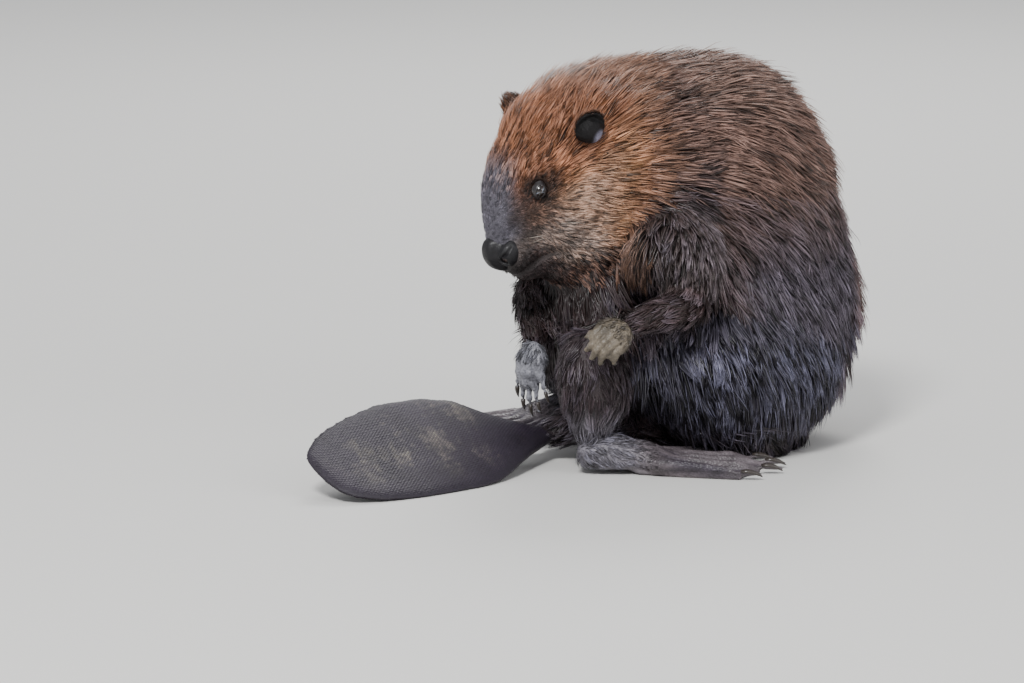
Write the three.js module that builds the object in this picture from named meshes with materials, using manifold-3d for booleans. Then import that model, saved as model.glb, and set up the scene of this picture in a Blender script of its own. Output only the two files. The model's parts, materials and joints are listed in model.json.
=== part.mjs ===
// A life-size North American beaver sitting on its rump while it grooms: it faces -X with its head
// bowed, its left side towards -Y and its flat tail drawn forward under it between the hind legs.
// Millimetres, +Z up, the floor at Z 0.
import * as THREE from "three";
import { mergeVertices } from "three/addons/utils/BufferGeometryUtils.js";
import Module from "manifold-3d";

const wasm = await Module();
wasm.setup();

// ---- Driving dimensions -------------------------------------------------------------------------
const GAP = 0.3; // left between two pieces that meet
const REACH = 420; // longer than any ray that looks for the surface
const MARGIN = 9; // how far a piece is drawn past its cut before it is trimmed
const BODY_BLEND = 30; // how softly one mass of the body runs into the next
const HEAD_BLEND = 16;

const HEAD_YAW = 0; // degrees from -X towards -Y, seen from above
const HEAD_PITCH = 50; // nose down
const HEAD_ROLL = 0;

const EYE_RADIUS = 7;
const EYE_PLACE = { x: -57, z: 22.5 }; // behind the nose along the skull, and above it
const EAR_PLACE = { x: -119, z: 26, out: 2 };
const EAR_HEIGHT = 31;
const EAR_WIDTH = 29;
const EAR_THICK = 7;

const HIND_FOOT = 168; // heel to the toe pads
const HIND_SPREAD = 96; // across the web
const WEB_THICK = 5;
const TOE_COUNT = 5;
const HAND = 34; // wrist to the knuckles
const FINGER_RADIUS = 3.7;
const FINGER_STEP = 7.4; // from one knuckle to the next
const FINGER_CURL = { left: 115, right: 20 }; // degrees

const TAIL_LENGTH = 252; // the scaly blade
const TAIL_WIDTH = 116; // seen from above, banked as it is
const TAIL_THICK = 17;
const TAIL_YAW = 13;
const TAIL_LIFT = 68; // how far the blade's far edge is raised

// ---- Small helpers ------------------------------------------------------------------------------
const vec = (x, y, z) => new THREE.Vector3(x, y, z);
const radians = THREE.MathUtils.degToRad;
const mix = THREE.MathUtils.lerp;
const clamp = THREE.MathUtils.clamp;
const world = new THREE.Matrix4();

// Axes at a point: x forward, y to the animal's left, z up, turned by yaw, then pitch, then roll.
function frameAt(origin, yaw, pitch = 0, roll = 0) {
  const [t, p, r] = [yaw, pitch, roll].map(radians);
  const level = vec(-Math.cos(t), -Math.sin(t), 0);
  const left = vec(Math.sin(t), -Math.cos(t), 0);
  const forward = level.clone().multiplyScalar(Math.cos(p)).add(vec(0, 0, -Math.sin(p)));
  const up = level.clone().multiplyScalar(Math.sin(p)).add(vec(0, 0, Math.cos(p)));
  const side = left.clone().multiplyScalar(Math.cos(r)).addScaledVector(up, -Math.sin(r));
  const top = up.clone().multiplyScalar(Math.cos(r)).addScaledVector(left, Math.sin(r));
  return new THREE.Matrix4().makeBasis(forward, side, top).setPosition(origin);
}

const place = (frame, x, y, z) => vec(x, y, z).applyMatrix4(frame);

// A value read from evenly spaced numbers, straight between them.
function along(values, t) {
  const station = clamp(t, 0, 1) * (values.length - 1);
  const k = Math.min(Math.floor(station), values.length - 2);
  return mix(values[k], values[k + 1], station - k);
}

// ---- Fields: negative inside, and about the distance in millimetres near the surface ------------
function mass(frame, centre, radii) {
  const inverse = frame.clone().invert();
  const at = vec(...centre);
  const size = vec(...radii);
  const squared = size.clone().multiply(size);
  return (point) => {
    const local = point.clone().applyMatrix4(inverse).sub(at);
    const near = local.clone().divide(size).length();
    const slope = local.divide(squared).length();
    return slope < 1e-9 ? -Math.min(...radii) : (near * (near - 1)) / slope;
  };
}

function rod(a, b, radiusA, radiusB) {
  const axis = b.clone().sub(a);
  return (point) => {
    const t = clamp(point.clone().sub(a).dot(axis) / axis.lengthSq(), 0, 1);
    return point.distanceTo(a.clone().addScaledVector(axis, t)) - mix(radiusA, radiusB, t);
  };
}

function blended(fields, width) {
  return (point) =>
    fields
      .map((field) => field(point))
      .reduce((a, b) => {
        const share = Math.max(width - Math.abs(a - b), 0) / width;
        return Math.min(a, b) - (share * share * width) / 4;
      });
}

const within = (field, region) => (point) => Math.max(field(point), region(point) - MARGIN);

// ---- Solids from three.js geometries ------------------------------------------------------------
function solid(geometry) {
  const bare = geometry.clone();
  bare.deleteAttribute("normal");
  bare.deleteAttribute("uv");
  const merged = mergeVertices(bare, 1e-4);
  return new wasm.Manifold(
    new wasm.Mesh({
      numProp: 3,
      vertProperties: new Float32Array(merged.attributes.position.array),
      triVerts: new Uint32Array(merged.index.array),
    }),
  );
}

function reshape(geometry, move) {
  const position = geometry.attributes.position;
  for (let i = 0; i < position.count; i++) {
    const moved = move(vec(position.getX(i), position.getY(i), position.getZ(i)));
    position.setXYZ(i, moved.x, moved.y, moved.z);
  }
  return geometry;
}

// How far along a ray the field first rises past zero.
function surfaceAlong(field, from, direction) {
  const at = (r) => field(from.clone().addScaledVector(direction, r));
  const step = 6;
  let outer = step;
  while (outer < REACH && at(outer) < 0) outer += step;
  let inner = outer - step;
  for (let i = 0; i < 12; i++) {
    const middle = (inner + outer) / 2;
    if (at(middle) < 0) inner = middle;
    else outer = middle;
  }
  return inner;
}

// A ball stretched from a to b, whose skin is drawn out to where the field ends.
function wrapped(field, a, b, detail) {
  const axis = b.clone().sub(a);
  const forward = axis.clone().divideScalar(Math.max(axis.length(), 1e-6));
  return solid(
    reshape(new THREE.IcosahedronGeometry(1, detail), (n) => {
      const from = a.clone().addScaledVector(axis, 0.5 + 0.5 * n.dot(forward));
      return from.addScaledVector(n, surfaceAlong(field, from, n));
    }),
  );
}

// A limb with rounded ends along a smooth path: half widths across it and half depths at even steps.
function limb(path, wide, deep, { grow = 0, around = 10, rings = 8, across = vec(0, 1, 0) } = {}) {
  const curve = path.length > 2 ? new THREE.CatmullRomCurve3(path) : new THREE.LineCurve3(...path);
  return solid(
    reshape(new THREE.SphereGeometry(1, around, rings), (n) => {
      const t = 0.5 - 0.5 * n.y;
      const ring = Math.hypot(n.x, n.z);
      const tangent = curve.getTangent(t);
      const side = across.clone().addScaledVector(tangent, -across.dot(tangent)).normalize();
      const swell = ring > 1e-6 ? Math.sqrt(ring) / ring : 0;
      return curve
        .getPoint(t)
        .addScaledVector(tangent, (2 * t - 1) * grow)
        .addScaledVector(side, n.x * swell * (along(wide, t) + grow))
        .addScaledVector(tangent.cross(side), n.z * swell * (along(deep, t) + grow));
    }),
  );
}

const egg = (frame, centre, radii, grow = 0, detail = 4) =>
  solid(
    new THREE.IcosahedronGeometry(1, detail)
      .scale(...radii.map((r) => r + grow))
      .translate(...centre)
      .applyMatrix4(frame),
  );

const floor = solid(new THREE.BoxGeometry(1400, 1400, 400).translate(0, 0, -200));
const onFloor = (part) => part.subtract(floor);
const joined = (parts) => parts.reduce((a, b) => a.add(b));
const cutBy = (part, tools) => tools.reduce((left, tool) => left.subtract(tool), part);
const whole = (part) => part.decompose().sort((a, b) => b.volume() - a.volume())[0];

// ---- Frames and joints ----------------------------------------------------------------------------
const skull = frameAt(vec(-183, 0, 177), HEAD_YAW, HEAD_PITCH, HEAD_ROLL); // at the nose pad
const skullAxes = new THREE.Matrix4().extractRotation(skull);
const SIDES = { left: 1, right: -1 };

const shoulder = { left: vec(-72, -66, 206), right: vec(-78, 62, 204) };
const elbow = { left: vec(-50, -122, 146), right: vec(-104, 74, 142) };
const wrist = { left: vec(-138, -131, 129), right: vec(-146, 0, 93) };
const hip = { left: vec(10, -62, 74), right: vec(20, 58, 74) };
const knee = { left: vec(-124, -74, 124), right: vec(-74, 88, 106) };
const ankle = { left: vec(-138, -82, 20), right: vec(-38, 97, 18) };
const tailStart = vec(-146, -18, 17);

const feet = {
  left: frameAt(vec(-156, -78, 0), 157),
  right: frameAt(vec(-18, 98, 0), 0),
};
const hands = {
  left: frameAt(wrist.left, 2, 34, 50),
  right: frameAt(wrist.right, 10, 80, 0),
};

// ---- The body as one blended mass -------------------------------------------------------------------
const torsoMasses = [
  mass(world, [43, 4, 117], [129, 113, 122]), // rump
  mass(world, [20, 2, 204], [124, 112, 136]), // back
  mass(world, [-54, 0, 226], [84, 90, 112]), // shoulders
  mass(world, [-58, 0, 150], [66, 78, 86]), // chest
  mass(world, [-36, -4, 92], [84, 84, 84]), // belly
];
const thighMasses = [
  mass(frameAt(vec(24, -72, 74), 16), [0, 0, 0], [104, 62, 74]),
  mass(frameAt(vec(22, 72, 74), -14), [0, 0, 0], [98, 58, 74]),
  rod(hip.left, vec(-104, -72, 100), 56, 44),
  rod(hip.right, vec(-56, 82, 90), 56, 42),
];
const neckMass = rod(place(skull, -118, 0, -6), vec(-56, 0, 232), 62, 88);
const headMasses = [
  mass(skull, [-100, 0, 8], [62, 55, 55]), // brain case
  mass(skull, [-62, 0, 17], [43, 31, 36]), // forehead
  mass(skull, [-74, 27, -24], [48, 34, 48]), // left cheek
  mass(skull, [-74, -27, -24], [48, 34, 48]), // right cheek
  mass(skull, [-31, 0, 3], [30, 20, 23]), // muzzle
  mass(skull, [-11, 9, -14], [17, 12, 13]), // left lip
  mass(skull, [-11, -9, -14], [17, 12, 13]), // right lip
  mass(skull, [-19, 0, -33], [22, 17, 15]), // chin
  mass(skull, [-66, 0, -44], [46, 42, 36]), // throat
];
const headField = blended(headMasses, HEAD_BLEND);
const bodyField = blended(
  [...torsoMasses, ...thighMasses, neckMass],
  BODY_BLEND,
);
const skinField = blended([headField, bodyField], HEAD_BLEND);

// ---- Where the body is parted: an ellipsoid for each region -------------------------------------------
const regions = {
  head: [skull, [-84, 0, -4], [100, 92, 86]],
  neck: [world, [-92, 0, 232], [88, 130, 128]],
  thigh_left: [frameAt(vec(-2, -96, 64), 10), [0, 0, 0], [142, 66, 84]],
  thigh_right: [frameAt(vec(14, 94, 62), -12), [0, 0, 0], [122, 64, 84]],
};
const region = (name, grow) => egg(...regions[name], grow, 2);
const half = GAP / 2;

// The piece of the skin inside its region, but outside the regions that were parted off before it.
function parted(name, a, b, detail, before = []) {
  const rough = wrapped(within(skinField, mass(...regions[name])), a, b, detail);
  const kept = rough.intersect(region(name, -half));
  return cutBy(kept, before.map((other) => region(other, half)));
}

// ---- Head -----------------------------------------------------------------------------------------------
// The place on the side of the head at this height and distance back, moved out by some millimetres.
function onSide(x, side, z, out) {
  const from = place(skull, x, 0, z);
  const way = vec(0, side, 0).applyMatrix4(skullAxes);
  return from.addScaledVector(way, surfaceAlong(skinField, from, way) + out);
}

const eyeCentre = (side) => onSide(EYE_PLACE.x, side, EYE_PLACE.z, -EYE_RADIUS / 2);
const eyeball = (side, grow = 0) =>
  solid(new THREE.SphereGeometry(EYE_RADIUS + grow, 8, 6).translate(...eyeCentre(side)));

function nosePad(grow = 0) {
  const pad = joined([
    egg(skull, [-6, 0, -3], [14, 15, 14.5], grow, 1),
    egg(skull, [-7, 12, -5], [13, 8, 10.5], grow, 1),
    egg(skull, [-7, -12, -5], [13, 8, 10.5], grow, 1),
  ]);
  if (grow) return pad;
  const nostrils = [1, -1].map((side) => egg(skull, [4, side * 15, -3], [5, 4, 3], 0, 0));
  return cutBy(pad, nostrils);
}

// A round flap that stands off the side of the head, hollow outside, on a short stalk.
function ear(side) {
  const root = onSide(EAR_PLACE.x, side, EAR_PLACE.z, EAR_PLACE.out);
  const up = vec(-0.45, side * 0.34, 0.8).normalize().applyMatrix4(skullAxes);
  const face = vec(0.3, side * 0.92, -0.1).applyMatrix4(skullAxes);
  face.addScaledVector(up, -face.dot(up)).normalize();
  const across = up.clone().cross(face);
  const flap = reshape(new THREE.SphereGeometry(1, 9, 7), (n) => {
    const middle = Math.max(0, 1 - n.x * n.x - n.y * n.y);
    const hollow = n.z > 0 ? 2.5 * middle : 1.4 * middle;
    return root
      .clone()
      .addScaledVector(across, (n.x * EAR_WIDTH) / 2)
      .addScaledVector(up, (n.y * EAR_HEIGHT) / 2 + 3)
      .addScaledVector(face, (n.z - hollow) * EAR_THICK * 0.5 + 2);
  });
  return solid(flap).add(egg(skullAxes, [0, 0, 0], [12, 10, 12], 0, 1).translate(...root.toArray()));
}

const headCentre = place(skull, -92, 0, -4);
const headWrap = (grow) =>
  wrapped(within((point) => skinField(point) - grow, mass(...regions.head)), headCentre,
    place(skull, -36, 0, -6), 5);

function head() {
  const kept = headWrap(0).intersect(region("head", -half));
  return cutBy(kept, [nosePad(GAP), eyeball(1, GAP), eyeball(-1, GAP)]);
}

// ---- Limbs -----------------------------------------------------------------------------------------------
const upperArm = (side, grow = 0) =>
  limb([shoulder[side], shoulder[side].clone().lerp(elbow[side], 0.5).add(vec(0, 0, 2)), elbow[side]],
    [46, 44, 30], [50, 42, 30], { grow, around: 12, rings: 8 });

const forearm = (side, grow = 0) =>
  limb([elbow[side], elbow[side].clone().lerp(wrist[side], 0.5), wrist[side]], [25, 20, 12.5], [25, 19, 11],
    { grow, around: 10, rings: 6 });

const shank = (side, grow = 0) =>
  limb([knee[side], knee[side].clone().lerp(ankle[side], 0.5), ankle[side]], [35, 38, 22], [38, 38, 21],
    { grow, around: 11, rings: 7 });

// A finger that bends down from its root, turned out by its spread angle, with its claw.
function digit(side, root, length, spread) {
  const frame = hands[side];
  const radius = FINGER_RADIUS;
  const turn = radians(spread);
  const bend = radians(FINGER_CURL[side]);
  const middle = place(frame, root[0] + 0.5 * length * Math.cos(turn),
    root[1] + 0.5 * length * Math.sin(turn), root[2]);
  const tip = place(frame, root[0] + length * Math.cos(turn) * (0.5 + 0.5 * Math.cos(bend)),
    root[1] + length * Math.sin(turn) * (0.5 + 0.5 * Math.cos(bend)),
    root[2] - 0.5 * length * Math.sin(bend));
  const start = place(frame, ...root);
  const way = tip.clone().sub(middle).normalize();
  const claw = [-1.7, 3].map((step) => tip.clone().addScaledVector(way, step * radius));
  return [
    limb([start, middle, tip], [radius, radius, radius * 0.8], [radius, radius, radius * 0.8],
      { around: 5, rings: 3 }),
    limb(claw, [radius * 0.62, radius * 0.5, 0.6], [radius * 0.7, radius * 0.5, 0.6],
      { around: 4, rings: 2 }),
  ];
}

const palm = (side, grow = 0) => egg(hands[side], [HAND * 0.42, 0, 0], [HAND * 0.62, 17, 11], grow, 1);

function hand(side) {
  const fingers = [-2, -1, 0, 1, 2].flatMap((i) =>
    digit(side, [HAND * (0.72 - 0.05 * i * i), i * FINGER_STEP, -1], 25 - 1.6 * i * i, i * 6),
  );
  return joined([palm(side), ...fingers]);
}

const sole = (side, grow = 0) =>
  limb([place(feet[side], 4, 0, 15), place(feet[side], 36, 0, 17), place(feet[side], 92, 0, 8)],
    [15, 20, 28], [15, 16, 8], { grow, around: 8, rings: 6 });

const toes = [...Array(TOE_COUNT).keys()].map((i) => i - (TOE_COUNT - 1) / 2);
const toeTip = (i) => [HIND_FOOT - 7 * i * i, (i * HIND_SPREAD) / (TOE_COUNT - 1)];

// The web between the toes, drawn in a little from tip to tip; grow widens it all round.
function web(side, height, grow = 0) {
  const outline = new THREE.Shape().moveTo(52 - grow, -17 - grow);
  const edge = 2.6 * grow - 4;
  for (const i of toes) {
    const [x, y] = toeTip(i);
    const [px, py] = toeTip(i - 1);
    if (i > toes[0]) outline.quadraticCurveTo((x + px) / 2 + edge - 9, (y + py) / 2, x + edge, y);
    else outline.lineTo(x + edge, y - grow);
  }
  outline.lineTo(toeTip(toes.at(-1))[0] + edge, toeTip(toes.at(-1))[1] + grow);
  outline.lineTo(52 - grow, 17 + grow);
  const options = { depth: height, bevelEnabled: false, curveSegments: 2 };
  return solid(new THREE.ExtrudeGeometry(outline, options).applyMatrix4(feet[side]));
}

function toe(side, i) {
  const [x, y] = toeTip(i);
  const at = (...point) => place(feet[side], ...point);
  return [
    limb([at(46, i * 8, 11), at(mix(46, x, 0.6), mix(i * 8, y, 0.6), 9), at(x, y, 5)], [8, 6, 5.5],
      [7.5, 5.5, 5], { around: 5, rings: 3 }),
    limb([at(x - 9, y, 6), at(x + 9, y, 6), at(x + 17, y, 3)], [4, 4, 1.2], [3.4, 2.6, 1],
      { around: 4, rings: 3 }),
  ];
}

const foot = (side) =>
  onFloor(joined([sole(side), web(side, WEB_THICK), ...toes.flatMap((i) => toe(side, i))]));

// The room that a foot needs under the leg above it.
const footRoom = (side) => sole(side, GAP).add(web(side, 23, 9));

// ---- Tail ----------------------------------------------------------------------------------------------
const tailFrame = frameAt(tailStart.clone().setZ(0), TAIL_YAW);

// Seen from above the blade is a broad oval; its far edge curls up, its near edge lies on the floor.
function tailBlade(grow = 0) {
  const widths = [0.4, 0.52, 0.76, 0.91, 0.99, 1, 0.98, 0.94, 0.88];
  const blade = reshape(new THREE.SphereGeometry(1, 13, 14), (n) => {
    const t = 0.5 - 0.5 * n.y;
    const ring = Math.hypot(n.x, n.z);
    const swell = ring > 1e-6 ? Math.pow(ring, 0.5) / ring : 0;
    const s = n.x * swell * along(widths, t);
    const lift = TAIL_LIFT * Math.pow((1 - s) / 2, 1.35) * Math.min(1, 2.4 * t + 0.25) * (1.1 - 0.35 * t);
    const thick = (TAIL_THICK / 2) * mix(1.5, 0.55, t) * (1 - 0.6 * s * s) + grow;
    const rest = mix(13, -1.5, Math.min(1, t * 2.5));
    return place(tailFrame, mix(-grow, TAIL_LENGTH + grow, t), s * (TAIL_WIDTH / 2 + grow),
      rest + lift + n.z * swell * thick);
  });
  return solid(blade);
}

const tailRoot = (grow = 0) =>
  limb([vec(20, -4, 44), vec(-50, -10, 40), tailStart.clone().add(vec(-8, 0, 4))],
    [58, 44, 28], [36, 30, 17], { grow, around: 10, rings: 5 });

// ---- The pieces, each in its own place ------------------------------------------------------------------
const fur = new THREE.MeshStandardMaterial({ color: 0x5a4334, roughness: 0.75 });
const faceFur = new THREE.MeshStandardMaterial({ color: 0x8a5434, roughness: 0.75 });
const bareSkin = new THREE.MeshStandardMaterial({ color: 0x4a4546, roughness: 0.5 });
const scales = new THREE.MeshStandardMaterial({ color: 0x35303a, roughness: 0.5 });
const eyeBlack = new THREE.MeshStandardMaterial({ color: 0x0b0908, roughness: 0.1 });
const group = new THREE.Group();

function show(name, part, material) {
  const mesh = part.getMesh();
  const points = new Float32Array(mesh.numVert * 3);
  for (let i = 0; i < mesh.numVert; i++)
    points.set(mesh.vertProperties.subarray(i * mesh.numProp, i * mesh.numProp + 3), i * 3);
  const geometry = new THREE.BufferGeometry();
  geometry.setAttribute("position", new THREE.BufferAttribute(points, 3));
  geometry.setIndex(new THREE.BufferAttribute(mesh.triVerts, 1));
  geometry.computeVertexNormals();
  const piece = new THREE.Mesh(geometry, material.clone());
  piece.name = name;
  group.add(piece);
}

const limbTools = ["left", "right"].flatMap((side) => [
  upperArm(side, GAP),
  forearm(side, GAP),
  shank(side, GAP),
]);
limbTools.push(tailRoot(GAP), footRoom("left"), footRoom("right"));
const trunkSkin = wrapped(bodyField, vec(34, 2, 110), vec(-10, 0, 214), 4);
const trunkTools = ["head", "neck", "thigh_left", "thigh_right"].map((name) => region(name, half));

show("head", whole(cutBy(head(), limbTools)), faceFur);
show("nose", nosePad(), bareSkin);
show("neck", whole(cutBy(parted("neck", vec(-84, 0, 236), vec(-84, 0, 236), 3, ["head"]), limbTools)), fur);
show("trunk", whole(onFloor(cutBy(trunkSkin, [...trunkTools, ...limbTools]))), fur);
for (const [name, side] of Object.entries(SIDES)) {
  const thigh = parted("thigh_" + name, hip[name], hip[name], 4);
  const lowerLeg = cutBy(shank(name), [sole(name, GAP), palm(name, GAP)]);
  show("eye_" + name, eyeball(side), eyeBlack);
  show("ear_" + name, whole(ear(side).subtract(headWrap(GAP))), bareSkin);
  show("upper_arm_" + name, whole(upperArm(name).subtract(forearm(name, GAP))), fur);
  show("forearm_" + name, whole(forearm(name).subtract(palm(name, GAP))), fur);
  show("thigh_" + name, whole(onFloor(cutBy(thigh, limbTools))), fur);
  show("shank_" + name, whole(onFloor(lowerLeg)), fur);
  show("foot_" + name, foot(name), bareSkin);
  show("hand_" + name, hand(name), bareSkin);
}
const rootTools = [tailBlade(GAP), footRoom("left"), footRoom("right")];
show("tail_root", whole(onFloor(cutBy(tailRoot(), rootTools))), fur);
show("tail_blade", onFloor(tailBlade()), scales);

// The origin is on the floor, under the middle of the whole animal's box.
const middle = new THREE.Box3().setFromObject(group).getCenter(new THREE.Vector3());
group.position.set(-middle.x, -middle.y, 0);

export default group;
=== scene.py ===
"""A life-size beaver sitting on its rump while it grooms: skin, coat, face, paws, tail and a plain studio.

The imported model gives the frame. Every piece is laid on its solids, in metres, and rides on its body.
"""

import json
import math

import bmesh
import bpy
import numpy as np
from bpy.props import FloatProperty, FloatVectorProperty, IntProperty, PointerProperty
from mathutils import Matrix, Vector
from mathutils.bvhtree import BVHTree
from mathutils.kdtree import KDTree

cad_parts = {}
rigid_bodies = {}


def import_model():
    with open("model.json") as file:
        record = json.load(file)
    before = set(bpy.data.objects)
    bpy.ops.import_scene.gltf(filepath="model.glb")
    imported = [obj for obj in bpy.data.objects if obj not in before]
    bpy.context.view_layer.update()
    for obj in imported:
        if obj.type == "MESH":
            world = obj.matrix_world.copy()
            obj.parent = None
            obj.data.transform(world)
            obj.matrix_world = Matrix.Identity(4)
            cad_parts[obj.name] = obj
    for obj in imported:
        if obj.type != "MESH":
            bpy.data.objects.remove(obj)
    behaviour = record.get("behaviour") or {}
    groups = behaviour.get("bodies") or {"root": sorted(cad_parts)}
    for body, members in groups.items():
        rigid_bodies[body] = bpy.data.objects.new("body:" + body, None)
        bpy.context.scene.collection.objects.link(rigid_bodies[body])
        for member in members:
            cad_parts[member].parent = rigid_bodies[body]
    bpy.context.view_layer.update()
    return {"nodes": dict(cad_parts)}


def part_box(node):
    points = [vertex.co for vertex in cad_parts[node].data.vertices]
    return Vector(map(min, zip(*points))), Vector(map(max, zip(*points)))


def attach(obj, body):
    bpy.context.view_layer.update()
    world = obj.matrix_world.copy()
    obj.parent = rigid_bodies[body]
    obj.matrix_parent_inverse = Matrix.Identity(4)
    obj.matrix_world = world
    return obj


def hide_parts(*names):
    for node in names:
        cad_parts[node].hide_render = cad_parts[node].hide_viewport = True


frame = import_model()

bl_info = {
    "name": "Sitting Beaver",
    "version": (1, 0, 0),
    "blender": (4, 5, 0),
    "location": "3D View > Sidebar > Beaver",
    "description": "Dresses the solids of a sitting beaver with skin, fur, scales, claws and eyes",
    "category": "Object",
}

MM = 0.001

# Places of the solids, in millimetres, measured from a point of the body and not from the row's origin.
BODY_ORIGIN = np.array((110.975, 17.295, 0.0))
NOSE = (-183.0, 0.0, 177.0)
HEAD_PITCH = 50.0
WRIST = {"left": (-138, -131, 129), "right": (-146, 0, 93)}
HAND_TURN = {"left": (2, 34, 50), "right": (10, 80, 0)}
HAND_CURL = {"left": 115, "right": 20}
HEEL = {"left": (-156, -78, 0), "right": (-18, 98, 0)}
FOOT_YAW = {"left": 157, "right": 0}
TAIL_START = (-146, -18, 0)
TAIL_YAW = 13
TAIL_LENGTH = 252
HAND_LENGTH = 34
HIND_FOOT = 168
HIND_SPREAD = 96
FINGER_STEP = 7.4  # from one knuckle to the next
SIDES = {"left": 1, "right": -1}
EYE_RADIUS = 7.0
PATCH = 0.003  # the size of a tuft's place on the flat map
OVERLAP = 0.5 * MM  # by how much copies of solids swell to run into one another
GUARD_LENGTH, GUARD_LIFT, GUARD_PULL, GUARD_WIDTH = 1.28, 1.15, 0.4, 0.5  # of guard hairs, against wool
ROOT_DEPTH = 0.9 * MM  # how far a tuft is rooted in the skin
FLOOR_GAP = 0.6 * MM  # the least height of a tuft over the floor
BLADE_SWELL = 2.0 * MM  # how much more the tail's blade swells, so that its rim is thicker than a face
SCALE_WIDTH, SCALE_ROWS = 0.86, 0.72  # a scale's width and the step from row to row, in scale lengths
BLADE_SPAN = 150 * MM  # how wide a strip of the blade is searched for seats
SCALE_RAY = 0.13  # metres above or below the blade from which a scale is dropped
RIM_SLOPE = 0.62  # faces that look less than this towards the ray are the rim and stay bare
BLADE_TOP = 95  # millimetres above the tail's start: higher than any seat on the blade
LID_WIDTH = 1.35  # radius of the rim of lid, in millimetres
SKIN_PASSES, BLADE_PASSES, HEEL_PASSES, FLOW_PASSES = 24, 34, 40, 26  # rounds of smoothing
WHISKER_SEED, SCALE_SEED, COAT_SEED, PAW_SEED, EAR_SEED = 5, 9, 40, 140, 151

FURRED = ("head", "neck", "trunk", "upper_arm_left", "upper_arm_right", "forearm_left", "forearm_right",
          "thigh_left", "thigh_right", "shank_left", "shank_right", "tail_root")
FLESH = FURRED + ("tail_blade", "nose")
PAWS = ("hand_left", "hand_right", "foot_left", "foot_right")

# Camera: the direction it looks from, and how much of the world its frame takes in.
CAMERA_AZIMUTH = -30.0
CAMERA_ELEVATION = 10.0
CAMERA_DISTANCE = 5.0
FRAME_WIDTH = 0.8806
SENSOR_WIDTH = 36.0
FRAME_CENTRE = (-144.5, 84.7)  # right and up from the body's own origin, in millimetres
LAMPS = (("key", (-2.0, -1.9, 3.0), 1.0, 150.0), ("fill", (1.6, -3.2, 1.5), 2.2, 30.0),
         ("rim", (1.6, 2.2, 2.4), 1.4, 60.0))  # name, place and size in metres, power in watts


def linear(red, green, blue):
    """A display colour as Blender's linear one."""
    return tuple(c / 12.92 if c <= 0.04045 else ((c + 0.055) / 1.055) ** 2.4 for c in (red, green, blue))


def rgb(*display):
    return np.array(linear(*display))


# ---- Frames of the body ----


def body_point(point):
    """A place on the body, in metres in the row's frame."""
    return Vector((np.asarray(point, float) + BODY_ORIGIN) * MM)


def frame_at(origin, yaw, pitch=0.0, roll=0.0):
    """Axes at a point: x forward, y to the animal's left and z up, in millimetres of the row's frame."""
    t, p, r = (math.radians(angle) for angle in (yaw, pitch, roll))
    level = Vector((-math.cos(t), -math.sin(t), 0))
    left = Vector((math.sin(t), -math.cos(t), 0))
    forward = level * math.cos(p) + Vector((0, 0, -math.sin(p)))
    up = level * math.sin(p) + Vector((0, 0, math.cos(p)))
    side = left * math.cos(r) - up * math.sin(r)
    top = up * math.cos(r) + left * math.sin(r)
    axes = Matrix((forward, side, top)).transposed().to_4x4()
    return Matrix.Translation(body_point(origin)) @ axes


SKULL = frame_at(NOSE, 0.0, HEAD_PITCH)
TAIL = frame_at(TAIL_START, TAIL_YAW)
FEET = {side: frame_at(HEEL[side], FOOT_YAW[side]) for side in SIDES}
HANDS = {side: frame_at(WRIST[side], *HAND_TURN[side]) for side in SIDES}


def local(points, matrix):
    """Row points, in metres, seen from a frame, in millimetres."""
    inverse = np.array(matrix.inverted())
    return (points @ inverse[:3, :3].T + inverse[:3, 3]) / MM


def turned(directions, matrix):
    """Directions of a frame in the row's own axes."""
    return directions @ np.array(matrix)[:3, :3].T


def of_skull(x, y, z):
    return SKULL.to_3x3() @ Vector((x, y, z))


def step(value, low, high):
    """0 below low and 1 above high, smoothly between them; low may be the larger one."""
    t = np.clip((value - low) / (high - low), 0.0, 1.0)
    return t * t * (3.0 - 2.0 * t)


def unit(vectors):
    return vectors / np.maximum(np.linalg.norm(vectors, axis=-1, keepdims=True), 1e-9)


def along(vectors, outward):
    """Directions laid flat on a surface."""
    return unit(vectors - outward * np.sum(vectors * outward, axis=1, keepdims=True))


def ripple(points, size, seed):
    """Soft, repeatable, irregular patches of about -1 to 1 over the body, some size millimetres across."""
    turns = np.random.default_rng(seed)
    waves = np.zeros(len(points))
    count = 14
    for _ in range(count):
        direction = unit(turns.normal(size=3)) * math.tau / (size * MM * turns.uniform(0.7, 2.4))
        waves += np.sin(points @ direction + turns.uniform(0, math.tau))
    return waves / math.sqrt(count) * 0.9


# ---- Meshes ----


def placed(name, data):
    """An object of some data, linked to the scene."""
    thing = bpy.data.objects.new(name, data)
    bpy.context.scene.collection.objects.link(thing)
    return thing


def to_mesh(name, shape):
    mesh = bpy.data.meshes.new(name)
    shape.to_mesh(mesh)
    shape.free()
    return mesh


def new_piece(name, mesh, material, smooth=True):
    """A finished piece in the scene that rides on the body."""
    piece = placed(name, mesh)
    mesh.materials.clear()
    mesh.materials.append(material)
    mesh.polygons.foreach_set("use_smooth", np.full(len(mesh.polygons), smooth))
    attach(piece, "root")
    return piece


def read(items, key, width, kind=np.float32):
    """A property of all vertices, edges or loops as rows."""
    flat = np.empty(len(items) * width, kind)
    items.foreach_get(key, flat)
    return flat.reshape(-1, width)


def positions(mesh):
    return read(mesh.vertices, "co", 3).astype(float)


def normals(mesh):
    return read(mesh.vertices, "normal", 3).astype(float)


def move_to(mesh, points):
    mesh.vertices.foreach_set("co", points.ravel())
    mesh.update()


def edge_ends(mesh):
    return read(mesh.edges, "vertices", 2, np.int32)


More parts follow.
